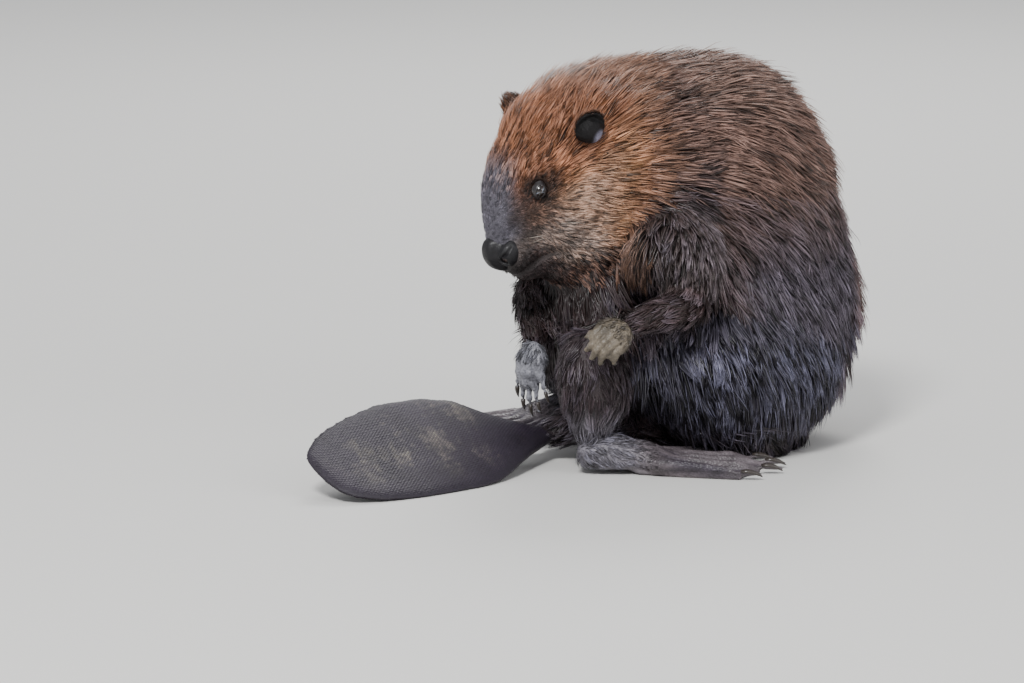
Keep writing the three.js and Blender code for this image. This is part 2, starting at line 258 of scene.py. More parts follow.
def relaxed(values, ends, steps, share=0.5):
    """Each vertex's values drawn towards its neighbours' mean, steps times."""
    count = len(values)
    first, last = ends[:, 0], ends[:, 1]
    links = np.maximum(np.bincount(ends.ravel(), minlength=count), 1)
    values = np.array(values, float)
    columns = values.reshape(count, -1)
    for _ in range(steps):
        for k in range(columns.shape[1]):
            column = columns[:, k]
            total = np.bincount(first, column[last], count) + np.bincount(last, column[first], count)
            columns[:, k] = column + share * (total / links - column)
    return values


def melted(points, ends, share, passes):
    """Points drawn to their neighbours' mean, each by its own share, passes times."""
    for _ in range(passes):
        points = points + (relaxed(points, ends, 1, 1.0) - points) * share[:, None]
    return points


ATTRIBUTES = {1: ("FLOAT", "value"), 3: ("FLOAT_VECTOR", "vector"), 4: ("FLOAT_COLOR", "color")}


def set_attribute(mesh, name, values):
    """Stores a value, a vector or a colour for each vertex."""
    rows = np.ascontiguousarray(values, np.float32).reshape(len(values), -1)
    kind, key = ATTRIBUTES[rows.shape[1]]
    mesh.attributes.new(name, kind, "POINT").data.foreach_set(key, rows.ravel())


def get_attribute(mesh, name, width):
    rows = read(mesh.attributes[name].data, ATTRIBUTES[width][1], width).astype(float)
    return rows if width > 1 else rows.ravel()


def set_colour(mesh, colours, name="coat"):
    set_attribute(mesh, name, np.column_stack((np.clip(colours, 0.0, 1.0), np.ones(len(colours)))))


def set_fields(mesh, flow, length, tone, colours):
    """Lie, length in metres and tone of the coat, and the colour of the skin below it."""
    set_attribute(mesh, "flow", flow)
    set_attribute(mesh, "length", length)
    set_colour(mesh, tone, "tone")
    set_colour(mesh, colours)


def node_copies(names, swell, blade=0.0):
    """Closed, swelled copies of CAD nodes in one bmesh; each face keeps its node's index, counted from 1."""
    whole = bmesh.new()
    which = whole.faces.layers.int.new("node")
    for index, name in enumerate(names):
        part = bmesh.new()
        part.from_mesh(frame["nodes"][name].data)
        bmesh.ops.remove_doubles(part, verts=part.verts, dist=1e-6)
        part.normal_update()
        for vertex in part.verts:
            vertex.co += vertex.normal * (swell + (blade if name == "tail_blade" else 0.0))
        loose = to_mesh("loose_" + name, part)
        whole.from_mesh(loose)
        bpy.data.meshes.remove(loose)
        for face in whole.faces:
            if face[which] == 0:
                face[which] = index + 1
    return whole, which


def remeshed(name, shape, voxel):
    """An even closed mesh over everything in the bmesh."""
    rough = bpy.data.meshes.new(name + "_rough")
    shape.to_mesh(rough)
    carrier = placed(name + "_rough", rough)
    remesh = carrier.modifiers.new("even", "REMESH")
    remesh.mode = "VOXEL"
    remesh.voxel_size = voxel
    graph = bpy.context.evaluated_depsgraph_get()
    mesh = bpy.data.meshes.new_from_object(carrier.evaluated_get(graph))
    mesh.name = name
    bpy.data.objects.remove(carrier)
    bpy.data.meshes.remove(rough)
    return mesh


def largest_shell(mesh):
    """Drops every loose shell but the largest, such as the wall of a void inside."""
    ends = edge_ends(mesh)
    group = np.arange(len(mesh.vertices))
    while True:
        lowest = np.minimum(group[ends[:, 0]], group[ends[:, 1]])
        before = group.copy()
        np.minimum.at(group, ends[:, 0], lowest)
        np.minimum.at(group, ends[:, 1], lowest)
        group = group[group]
        if np.array_equal(before, group):
            break
    kept = np.argmax(np.bincount(group))
    if np.all(group == kept):
        return mesh
    shape = bmesh.new()
    shape.from_mesh(mesh)
    shape.verts.ensure_lookup_table()
    spare = [shape.verts[i] for i in np.nonzero(group != kept)[0]]
    bmesh.ops.delete(shape, geom=spare, context="VERTS")
    shape.to_mesh(mesh)
    shape.free()
    return mesh


def node_of(points, shape, which):
    """For each point, the index of the CAD node that lies nearest to it."""
    tree = BVHTree.FromBMesh(shape)
    shape.faces.ensure_lookup_table()
    return np.array([shape.faces[tree.find_nearest(Vector(p))[2]][which] - 1 for p in points])


def soft_copy(name, nodes, swell, voxel, passes):
    """One smooth mesh over some nodes, with its edges' ends and its points."""
    solids, _which = node_copies(nodes, swell)
    mesh = remeshed(name, solids, voxel)
    solids.free()
    ends = edge_ends(mesh)
    points = relaxed(positions(mesh), ends, passes)
    move_to(mesh, points)
    return mesh, ends, points


# ---- The lie, length and colour of the coat ----


def kind_of(name):
    """A node's name without its side."""
    return name.removesuffix("_left").removesuffix("_right")


def head_flow(at, skull):
    """Back from the nose over the crown, and level over the cheeks, a little down at the jaw."""
    x, y, z = skull.T
    spread = 0.22 * np.sign(y) * step(x, -20, -90)
    rise = 0.25 - 1.42 * step(z, 30, 4) - step(z, -30, -62)
    return turned(np.column_stack((-np.ones(len(at)), spread, rise)), SKULL)


def neck_flow(at, skull):
    fall = 0.05 + 1.1 * step(at[:, 2], 275, 150)
    return np.column_stack((np.ones(len(at)), np.zeros(len(at)), -fall))


def trunk_flow(at, skull):
    """Round the back from the shoulders to the rump, and straight down the chest and belly."""
    x, _y, z = at.T
    turn = unit(np.column_stack((z - 125.0, np.zeros(len(at)), -x - 87.0)))
    front = step(x, -20, -75) * step(z, 235, 190)
    fall = np.array((0.08, 0.0, -1.0))
    return turn * (1.0 - front)[:, None] + fall * front[:, None]


def steady_flow(direction):
    return lambda at, skull: np.tile(np.array(direction, float), (len(at), 1))


def paw_flow(matrix, fall=0.0):
    return steady_flow(turned(np.array((1.0, 0.0, fall))[None], matrix)[0])


FLOWS = {
    "head": head_flow,
    "neck": neck_flow,
    "trunk": trunk_flow,
    "upper_arm_left": steady_flow((-0.15, -0.15, -1.0)),
    "upper_arm_right": steady_flow((-0.3, 0.2, -1.0)),
    "forearm_left": steady_flow((-1.0, 0.0, -0.3)),
    "forearm_right": steady_flow((-0.4, -0.7, -0.5)),
    "thigh_left": steady_flow((0.12, -0.1, -1.0)),
    "thigh_right": steady_flow((0.12, 0.1, -1.0)),
    "shank_left": steady_flow((-0.05, -0.05, -1.0)),
    "shank_right": steady_flow((0.0, 0.05, -1.0)),
    "tail_root": steady_flow((-1.0, -0.1, -0.2)),
    "tail_blade": steady_flow((-1.0, -0.2, -0.1)),
    "nose": head_flow,
    "foot_left": paw_flow(FEET["left"], -0.25),
    "foot_right": paw_flow(FEET["right"], -0.25),
    "hand_left": paw_flow(HANDS["left"]),
    "hand_right": paw_flow(HANDS["right"]),
}

COAT_LENGTHS = {  # millimetres
    "neck": 32.0, "trunk": 36.0, "upper_arm": 25.0, "forearm": 15.0, "thigh": 36.0, "shank": 15.0,
    "tail_root": 19.0, "tail_blade": 0.0,
}


def head_length(skull):
    """Velvet on the bridge of the muzzle, longer over crown and cheeks, short round the eye."""
    length = 3.6 + 19.0 * step(skull[:, 0], -20, -72) + 12.0 * step(skull[:, 0], -74, -125)
    length += 5.0 * step(skull[:, 2], -6, -36) * step(skull[:, 0], -16, -46)
    length += 4.5 * step(skull[:, 2], 4, -8) * step(skull[:, 0], -8, -22) * step(skull[:, 0], -60, -40)
    eye = np.hypot(skull[:, 0] + 57.0, skull[:, 2] - 22.5)
    return length * (0.4 + 0.6 * step(eye, 8, 27))


def paw_length(name, points):
    """A short sleek coat over instep and wrist that ends before the bare toes and fingers."""
    kind, side = name.split("_")
    x, _y, z = local(points, (FEET if kind == "foot" else HANDS)[side]).T
    return 10.0 * step(x, 92, 34) * step(z, 4, 10) if kind == "foot" else 8.0 * step(x, 17, 3)


CHESTNUT = rgb(0.55, 0.345, 0.215)
GOLD = rgb(0.64, 0.455, 0.295)
CHEEK_PALE = rgb(0.71, 0.585, 0.505)
WHISKER_TAN = rgb(0.60, 0.54, 0.51)
# Painted shade for the sunken furrow from eye to nostril
FURROW_SHADE = rgb(0.27, 0.225, 0.225)
MUZZLE_GREY = rgb(0.44, 0.425, 0.47)
LIP_BROWN = rgb(0.31, 0.265, 0.265)
FACE_DARK = rgb(0.16, 0.125, 0.125)
BACK_BROWN = rgb(0.44, 0.335, 0.295)
ARM_BROWN = rgb(0.30, 0.25, 0.24)
# Lighter tan laid on the highest parts of crown and back: painted light on the top
TAN_TOP_LIGHT = rgb(0.61, 0.50, 0.44)
RUSSET = rgb(0.47, 0.325, 0.26)
# Dark slate of wet flank and haunch fur; its bluish tint is a painted sky sheen
FLANK_SLATE_SKY_SHEEN = rgb(0.225, 0.21, 0.25)
BELLY_DARK = rgb(0.225, 0.17, 0.165)
SHANK_PLUM = rgb(0.28, 0.225, 0.235)
ROOT_BROWN = rgb(0.27, 0.235, 0.245)
TAIL_CHARCOAL = rgb(0.135, 0.11, 0.15)
MUD = rgb(0.45, 0.425, 0.375)
FOOT_GREY = rgb(0.36, 0.33, 0.345)
# Painted silvery sheen of wet fur at ankle and heel
ANKLE_SHEEN = rgb(0.46, 0.445, 0.475)
WEB_DARK = rgb(0.225, 0.20, 0.235)
HAND_BEIGE = rgb(0.40, 0.365, 0.315)
HAND_PALE = rgb(0.50, 0.50, 0.53)
EAR_BLACK = rgb(0.045, 0.038, 0.042)
# Painted highlights of the ear: a lighter rim on its ridges and a grey lit spot on the lower lobe
EAR_RIM_HIGHLIGHT = rgb(0.13, 0.11, 0.12)
EAR_LOBE_HIGHLIGHT = rgb(0.50, 0.49, 0.56)
IRIS_RING = rgb(0.50, 0.55, 0.62)


def layered(colour, *layers):
    """Tones laid over a colour one after the other, each by its own share."""
    for tone, share in layers:
        colour = colour + (tone - colour) * share[:, None]
    return colour


def cheek_edge(at):
    """How far back of the bright face's rear edge a point lies, in millimetres."""
    return at[:, 0] + 46.0 + 0.55 * np.abs(at[:, 1]) + 5.0 * np.sin(at[:, 2] * 0.09)


def ruff_colour(at, skull):
    """Chestnut crown, golden cheek with a dark rear edge, then the mauve brown of the back."""
    x, _y, z = at.T
    behind = cheek_edge(at)
    low = step(skull[:, 2], 24, 4)
    lower_edge = 176.0 + (behind + 50.0) * 0.95
    return layered(CHESTNUT,
                   (GOLD, low * 0.9),
                   # painted light: lighter tan on the top of the head
                   (TAN_TOP_LIGHT * 0.85, 0.6 * step(z, 292, 322)),
                   (RUSSET * 0.8, 0.7 * low * step(behind, -34, -12)),
                   (BACK_BROWN * 0.45, 0.9 * low * step(np.abs(behind - 1.0), 14, 4)),
                   (BACK_BROWN, step(behind, 2, 20.0 + 26.0 * (1.0 - low))),
                   (BELLY_DARK * 1.15, step(z - lower_edge, 8, -14)),
                   (BELLY_DARK, step(skull[:, 2], -42, -60) * step(behind, 10, -6)),
                   (BELLY_DARK, step(z, 190, 150) * step(x, -60, -84)))


def head_colour(at, skull):
    """The ruff's tones with a pale cheek, grey muzzle, painted shade in the furrow, dark lips and a dark ring
    at the eye.
    """
    x, y, z = skull.T
    side = np.abs(y)
    front = 14.0 * step(x, -42, -26)
    trench = np.abs(z - 8.0 + 0.3 * (x + 20.0))
    return layered(ruff_colour(at, skull),
                   (CHEEK_PALE, step(x, -26, -44) * step(at[:, 0], -108, -134) * step(z, 16, 2)),
                   (CHESTNUT * 0.72, 0.5 * step(x, -84, -62) * step(x, -34, -52) * step(z, 30, 46)),
                   (MUZZLE_GREY, step(x, -62, -42) * step(z + front, 4, 14) * step(side, 33, 19)),
                   (WHISKER_TAN, step(x, -54, -42) * step(z, 6, -2) * step(side, 10, 18)),
                   (LIP_BROWN * 1.2, step(x, -30, -16) * step(z, -4, -12)),
                   # painted shade along the sunken furrow
                   (FURROW_SHADE, 0.78 * step(trench, 17, 8) * step(x, -61, -49) * step(side, 15, 21)),
                   (LIP_BROWN, step(x, -30, -14) * step(z, -12, -22)),
                   (FACE_DARK, 0.85 * step(x, -19, -11) * step(z, -7, -12) * step(z, -30, -25)),
                   (BELLY_DARK, step(x, -70, -40) * step(z, -34, -48)),
                   (FACE_DARK * 0.8, 0.92 * step(np.hypot(x + 57.0, z - 22.5), 13.5, 8.5)))


def trunk_colour(at, skull):
    x, _y, z = at.T
    return layered(BACK_BROWN,
                   # flank slate with its painted bluish sky sheen
                   (FLANK_SLATE_SKY_SHEEN, 0.9 * (step(z, 262, 165) * step(x, -60, 10) * step(x, 164, 124))),
                   (RUSSET, 0.6 * step(x, 118, 152) * step(z, 235, 160)),
                   # painted light: lighter tan along the top of the back
                   (TAN_TOP_LIGHT * 0.75, 0.35 * step(z, 285, 325)),
                   (BELLY_DARK, step(x, -45, -85) * step(z, 240, 190)))


def plain_colour(colour):
    return lambda at, skull: np.tile(colour, (len(at), 1))


def thigh_colour(at, skull):
    # haunch slate with its painted bluish sky sheen, darker towards the bottom
    return layered(FLANK_SLATE_SKY_SHEEN * 0.9, (BELLY_DARK * 0.6, step(at[:, 2], 74, 24)),
                   (RUSSET * 0.8, 0.5 * step(at[:, 0], 95, 128)))


def shank_colour(at, skull):
    """Plum brown fur with a painted silvery sheen of wet fur towards the ankle."""
    return layered(SHANK_PLUM * 0.9, (ANKLE_SHEEN, 0.85 * step(at[:, 2], 66, 36)))


def between_toes(spot):
    """0 on a toe and 1 midway between two, for places in a foot's own millimetres."""
    toe = spot[:, 1] / np.maximum(0.145 * spot[:, 0] + 1.0, 4.0)
    return np.abs(toe - np.round(toe)) * 2.0


def foot_colour(side):
    def colour(at, skull):
        spot = local((at + BODY_ORIGIN) * MM, FEET[side])
        return layered(FOOT_GREY, (WEB_DARK, step(between_toes(spot), 0.35, 0.85) * step(spot[:, 0], 60, 90)),
                       # painted silvery sheen towards the ankle
                       (ANKLE_SHEEN, step(spot[:, 0], 70, 34)))
    return colour


COLOURS = {
    "head": head_colour,
    "neck": ruff_colour,
    "trunk": trunk_colour,
    "upper_arm": plain_colour(ARM_BROWN),
    "forearm": plain_colour(BELLY_DARK * 1.3),
    "thigh": thigh_colour,
    "shank": shank_colour,
    "tail_root": plain_colour(ROOT_BROWN),
    "tail_blade": plain_colour(TAIL_CHARCOAL),
    "nose": head_colour,
    "foot_left": foot_colour("left"),
    "foot_right": foot_colour("right"),
    "hand_left": plain_colour(HAND_BEIGE),
    "hand_right": plain_colour(HAND_PALE),
}


# ---- Materials ----


class Paint:
    """A material in the making: its shader and the nodes that feed it."""

    def __init__(self, name, roughness, specular=0.5, coat=(0.0, 0.03)):
        self.material = bpy.data.materials.new(name)
        self.material.use_nodes = True
        self.nodes, self.links = self.material.node_tree.nodes, self.material.node_tree.links
        self.shader = self.nodes["Principled BSDF"]
        self.set(self.shader, {"Roughness": roughness, "Specular IOR Level": specular,
                               "Coat Weight": coat[0], "Coat Roughness": coat[1]})

    @staticmethod
    def set(node, values):
        for name, value in values.items():
            node.inputs[name].default_value = value

    def noise(self, scale, detail):
        return self.texture("ShaderNodeTexNoise", {"Scale": scale, "Detail": detail}).outputs["Fac"]

    def cells(self, scale):
        return self.texture("ShaderNodeTexVoronoi", {"Scale": scale}).outputs["Distance"]

    def texture(self, kind, values):
        place, texture = self.nodes.new("ShaderNodeTexCoord"), self.nodes.new(kind)
        self.set(texture, values)
        self.links.new(place.outputs["Object"], texture.inputs["Vector"])
        return texture

    def ramp(self, source, low, high, dark, light):
        ramp = self.nodes.new("ShaderNodeMapRange")
        self.set(ramp, {"From Min": low, "From Max": high, "To Min": dark, "To Max": light})
        self.links.new(source, ramp.inputs["Value"])
        return ramp.outputs["Result"]

    def own_colour(self):
        """The colour that the mesh stores for each vertex."""
        reader = self.nodes.new("ShaderNodeAttribute")
        reader.attribute_name = "coat"
        return reader.outputs["Color"]

    def one_colour(self, colour):
        tone = self.nodes.new("ShaderNodeRGB")
        tone.outputs[0].default_value = (*colour, 1.0)
        return tone.outputs[0]

    def base(self, colour, *factors):
        """The shader's colour, made lighter or darker by factors."""
        for factor in factors:
            mix = self.nodes.new("ShaderNodeVectorMath")
            mix.operation = "SCALE"
            self.links.new(colour, mix.inputs[0])
            self.links.new(factor, mix.inputs["Scale"])
            colour = mix.outputs["Vector"]
        self.links.new(colour, self.shader.inputs["Base Color"])

    def bump(self, height, strength, distance):
        bump = self.nodes.new("ShaderNodeBump")
        self.set(bump, {"Strength": strength, "Distance": distance})
        self.links.new(height, bump.inputs["Height"])
        self.links.new(bump.outputs["Normal"], self.shader.inputs["Normal"])


def fur_material(name, roughness):
    paint = Paint(name, roughness)
    grain = paint.ramp(paint.noise(900.0, 2.0), 0.3, 0.7, 0.8, 1.2)
    streak = paint.ramp(paint.noise(75.0, 3.0), 0.3, 0.7, 0.78, 1.22)
    paint.base(paint.own_colour(), grain, streak)
    return paint.material


def hide_material(name, roughness, wrinkle, cell, gleam=0.5):
    """Bare skin: its own tone, creased by stretched cells and fine noise; the same height darkens the hollows
    and lightens the ridges, as painted shade and light.
    """
    paint = Paint(name, roughness, gleam)
    height = paint.nodes.new("ShaderNodeMath")
    height.operation = "ADD"
    paint.links.new(paint.cells(cell), height.inputs[0])
    paint.links.new(paint.noise(cell * 0.35, 5.0), height.inputs[1])
    # The tone follows the crease height: painted shade in the hollows, lighter on the ridges
    paint.base(paint.own_colour(), paint.ramp(height.outputs["Value"], 0.5, 1.4, 0.75, 1.25))
    paint.bump(height.outputs["Value"], wrinkle, 0.0012)
    return paint.material


def plain_material(name, colour, roughness, coat=0.0):
    paint = Paint(name, roughness, coat=(coat, 0.08))
    soft = paint.noise(420.0, 4.0)
    # The noise that mottles the tone also raises the bump, so the tone is darker in the dips: random mottling
    # with painted shade
    paint.base(paint.one_colour(colour), paint.ramp(soft, 0.3, 0.7, 0.8, 1.2))
    paint.bump(soft, 0.25, 0.0006)
    return paint.material


# ---- What a user may change ----


class BeaverSizes(bpy.types.PropertyGroup):
    skin_voxel: FloatProperty(name="Skin detail", description="Size of the skin's even faces",
                              default=2.6 * MM, min=0.0015, max=0.008, unit="LENGTH")
    paw_voxel: FloatProperty(name="Paw detail", description="Size of the faces on hands and feet",
                             default=1.3 * MM, min=0.0008, max=0.004, unit="LENGTH")
    coat_depth: FloatProperty(name="Coat depth",
                              description="Share of a tuft's length by which the skin lies inside",
                              default=0.34, min=0.0, max=0.8, subtype="FACTOR")
    tuft_width: FloatProperty(name="Tuft width", description="Width of a long tuft at its widest",
                              default=2.0 * MM, min=0.0004, max=0.006, unit="LENGTH")
    lift: FloatProperty(name="Lift", description="Angle at which a tuft leaves the skin",
                        default=math.radians(30.0), min=0.0, max=1.2, subtype="ANGLE")
    clump: FloatProperty(name="Clumping", description="How far the tips of wet tufts draw together",
                         default=0.55, min=0.0, max=1.0, subtype="FACTOR")
    scale_length: FloatProperty(name="Scale length", description="Length of a tail scale",
                                default=2.9 * MM, min=0.0015, max=0.008, unit="LENGTH")
    whiskers: IntProperty(name="Whiskers", description="Whiskers on each side of the muzzle",
                          default=16, min=0, max=60)


class BeaverColours(bpy.types.PropertyGroup):
    eye: FloatVectorProperty(name="Eye", description="Colour of the eyeball", subtype="COLOR",
                             default=linear(0.27, 0.17, 0.12), min=0.0, max=1.0)
    lid: FloatVectorProperty(name="Eyelid", description="Colour of the bare eyelids", subtype="COLOR",
                             default=linear(0.15, 0.135, 0.14), min=0.0, max=1.0)
    nose: FloatVectorProperty(name="Nose", description="Colour of the nose pad", subtype="COLOR",
                              default=linear(0.095, 0.09, 0.10), min=0.0, max=1.0)
    claw: FloatVectorProperty(name="Claw", description="Colour of the claws", subtype="COLOR",
                              default=linear(0.24, 0.215, 0.20), min=0.0, max=1.0)
    floor: FloatVectorProperty(name="Floor", description="Colour of the studio floor", subtype="COLOR",
                               default=linear(0.86, 0.855, 0.84), min=0.0, max=1.0)


# ---- Skin ----


def fields_of(points, nodes_of, names):
    """Lie, length in millimetres and colour of the coat at each point, before they are smoothed."""
    body = points / MM - BODY_ORIGIN
    skull = local(points, SKULL)
    flow, length, colour = np.zeros((len(points), 3)), np.zeros(len(points)), np.zeros((len(points), 3))
    for index, name in enumerate(names):
        here = nodes_of == index
        flow[here] = FLOWS[name](body[here], skull[here])
        colour[here] = COLOURS.get(name, COLOURS.get(kind_of(name)))(body[here], skull[here])
        if name in ("head", "nose"):
            length[here] = head_length(skull[here])
        elif name in PAWS:
            length[here] = paw_length(name, points[here])
        else:
            length[here] = COAT_LENGTHS[kind_of(name)]
    return unit(flow), length, colour


def mouth_distance(x, z):
    """How far above or below the line of the mouth a place of the skull lies, in millimetres."""
    return np.abs(z + 26.0 - 0.1 * (x + 10.0))


def sculpt_face(points, outward):
    """Sockets, a raised brow, a furrow from eye to nostril, full upper lips, the mouth, a groove under the
    nose and a sunken nose pad.
    """
    at = local(points, SKULL)
    x, y, z = at.T
    side = np.abs(y)
    push = np.zeros(len(points))
    push -= 2.4 * step(eye_distance(points) / MM, 16, 8)
    brow = np.hypot(x + 62.0, (z - 38.0) * 0.9)
    push += 1.8 * step(brow, 15, 3) * step(side, 20, 30)
    furrow = np.hypot((side - 20.0) / 7.0, (z - 6.0 - 0.25 * (-12.0 - x)) / 8.0)
    push -= 3.2 * step(furrow, 1.2, 0.2) * step(x, -46, -36) * step(x, -2, -12)
    lip = np.sqrt(((x + 15.0) / 13.0) ** 2 + ((side - 14.0) / 11.0) ** 2 + ((z + 15.0) / 9.0) ** 2)
    push += 2.6 * step(lip, 1.4, 0.3)
    mouth = mouth_distance(x, z)
    push -= 2.8 * step(mouth, 3, 0.4) * step(x, -30, -20)
    middle = step(side, 2.4, 0.3) * step(z, -10, -14) * step(z, -27, -23) * step(x, -20, -10)
    push -= 1.8 * middle
    push -= 1.6 * nose_patch(points)
    push *= step(np.linalg.norm(at - (-40.0, 0.0, 0.0), axis=1), 105, 80)
    return points + outward * push[:, None] * MM


class BEAVER_OT_skin(bpy.types.Operator):
    """One skin over the whole body, inside the solids by the coat's depth"""
    bl_idname = "beaver.skin"
    bl_label = "Skin"

    def execute(self, context):
        sizes = context.scene.beaver_sizes
        solids, which = node_copies(FLESH, OVERLAP, BLADE_SWELL)
        mesh = largest_shell(remeshed("skin", solids, sizes.skin_voxel))
        ends, points = edge_ends(mesh), positions(mesh)
        nodes_of = node_of(points, solids, which)
        solids.free()
        tail = relaxed((nodes_of == FLESH.index("tail_blade")).astype(float), ends, 6)
        muzzle = step(local(points, SKULL)[:, 0], -70, -40)
        points = melted(points, ends, 0.5 * (1.0 - 0.55 * muzzle), SKIN_PASSES)
        points = melted(points, ends, 0.5 * tail, BLADE_PASSES)
        move_to(mesh, points)
        points = sculpt_face(points, normals(mesh))
        move_to(mesh, points)

        flow, length, colour = fields_of(points, nodes_of, FLESH)
        length = relaxed(length, ends, 12) * (1.0 - tail)
        colour = relaxed(colour, ends, 3)
        outward = normals(mesh)
        flow = along(relaxed(flow, ends, FLOW_PASSES), outward)
        off_floor = step(points[:, 2], 0, 28 * MM)
        off_eye = step(eye_distance(points), 8 * MM, 17 * MM)
        depth = sizes.coat_depth * length * MM * off_floor * (0.15 + 0.85 * off_eye)
        depth += 0.3 * BLADE_SWELL * tail
        move_to(mesh, points - outward * depth[:, None])
        # The skin takes the coat's tone at half brightness as painted shade under the fur; the bare tail
        # keeps its full tone
        set_fields(mesh, flow, length * MM, colour, colour * (0.5 + 0.5 * tail[:, None]))
        piece = new_piece("skin", mesh, hide_material("skin_hide", 0.6, 0.35, 700.0))
        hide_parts(*FLESH[:-1])
        unwrap(context, piece)
        return {"FINISHED"}


def unwrap(context, piece):
    """A flat map of the skin's own shape, which the tufts borrow."""
    context.view_layer.objects.active = piece
    piece.select_set(True)
    bpy.ops.object.mode_set(mode="EDIT")
    bpy.ops.mesh.select_all(action="SELECT")
    bpy.ops.uv.smart_project(angle_limit=math.radians(66.0), island_margin=0.002)
    bpy.ops.object.mode_set(mode="OBJECT")
    piece.data.uv_layers.active.name = "OFBake"
    piece.select_set(False)


def eye_centre(side):
    low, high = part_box("eye_" + side)
    return (np.array(low) + np.array(high)) / 2


def eye_distance(points):
    return np.minimum.reduce([np.linalg.norm(points - eye_centre(side), axis=1) for side in SIDES])


# ---- Coat ----


class Skin:
    """A skin's triangles and the fields that the coat grows by."""

    def __init__(self, name):
        mesh = bpy.data.objects[name].data
        mesh.calc_loop_triangles()
        self.corners = read(mesh.loop_triangles, "vertices", 3, np.int32)
        loops = read(mesh.loop_triangles, "loops", 3, np.int32)
        self.points = positions(mesh)
        self.normals = normals(mesh)
        self.flow = get_attribute(mesh, "flow", 3)
        self.length = get_attribute(mesh, "length", 1)
        self.tone = get_attribute(mesh, "tone", 4)[:, :3]
        self.map = read(mesh.uv_layers["OFBake"].data, "uv", 2)[loops]
        a, b, c = (self.points[self.corners[:, k]] for k in range(3))
        self.area = np.linalg.norm(np.cross(b - a, c - a), axis=1) / 2
        self.middle = (a + b + c) / 3

    def long_fur(self, low, high):
        """0 where the fur is shorter than low and 1 where it is longer than high."""
        return step(self.length[self.corners].mean(axis=1), low, high)

    def roots(self, weight, count, dice):
        """count places spread evenly by area and weight: triangle indices and corner shares."""
        total = np.cumsum(self.area * weight)
        marks = (np.arange(count) + dice.uniform(0, 1, count)) / count * total[-1]
        index = np.minimum(np.searchsorted(total, marks), len(total) - 1)
        u, v = dice.uniform(0, 1, (2, count))
        fold = u + v > 1
        u[fold], v[fold] = 1 - u[fold], 1 - v[fold]
        return index, np.column_stack((1 - u - v, u, v))

    def at(self, values, index, shares):
        """Values at places on triangles, from those at their corners."""
        corner_values = values[self.corners[index]]
        if values.ndim == 1:
            return np.sum(corner_values * shares, axis=1)
        return np.sum(corner_values * shares[:, :, None], axis=1)


def tuft_faces(steps):
    """A three-sided lock: a cap at the root, walls from ring to ring and a point."""
    faces = [(0, 1, 2)]
    for low in range(0, 3 * steps - 3, 3):
        faces += [(low + (k + 1) % 3, low + k, low + 3 + k, low + 3 + (k + 1) % 3) for k in range(3)]
    last = 3 * steps - 3
    return faces + [(last + (k + 1) % 3, last + k, 3 * steps) for k in range(3)]


def joined_copies(name, points, faces):
    """One mesh of many small like shapes. points: (copy, vertex, xyz), faces: the vertices of one copy."""
    count, per = points.shape[:2]
    sizes = np.tile([len(face) for face in faces], count)
    pattern = np.concatenate([np.array(face) for face in faces])
    loops = (np.arange(count)[:, None] * per + pattern[None, :]).ravel()
    mesh = bpy.data.meshes.new(name)
    mesh.vertices.add(count * per)
    mesh.vertices.foreach_set("co", points.ravel().astype(np.float32))
    mesh.loops.add(len(loops))
    mesh.loops.foreach_set("vertex_index", loops.astype(np.int32))
    mesh.polygons.add(len(sizes))
    mesh.polygons.foreach_set("loop_start", (np.cumsum(sizes) - sizes).astype(np.int32))
    mesh.update(calc_edges=True)
    return mesh, loops


def set_map(mesh, loops, flat):
    layer = mesh.uv_layers.new(name="OFBake")
    layer.data.foreach_set("uv", flat.reshape(-1, 2)[loops].astype(np.float32).ravel())


def tuft_mesh(name, rings, widths, tips, side, out, colours, places):
    """Joined mesh of closed, three-sided tapering tufts. rings: (tuft, ring, xyz)."""
    count, steps = rings.shape[:2]
    corners = np.stack((-side, side, 0.62 * out), axis=1)
    body = rings[:, :, None, :] + corners[:, None, :, :] * widths[:, :, None, None]
    points = np.concatenate((body.reshape(count, steps * 3, 3), tips[:, None, :]), axis=1)
    mesh, loops = joined_copies(name, points, tuft_faces(steps))
    column = [-0.5, 0.5, 0.0] * steps + [0.0]
    row = np.repeat(np.linspace(-0.5, 0.35, steps), 3).tolist() + [0.5]
    set_map(mesh, loops, places[:, None, :] + np.column_stack((column, row))[None] * PATCH)
    set_colour(mesh, colours.reshape(-1, 3))
    return mesh


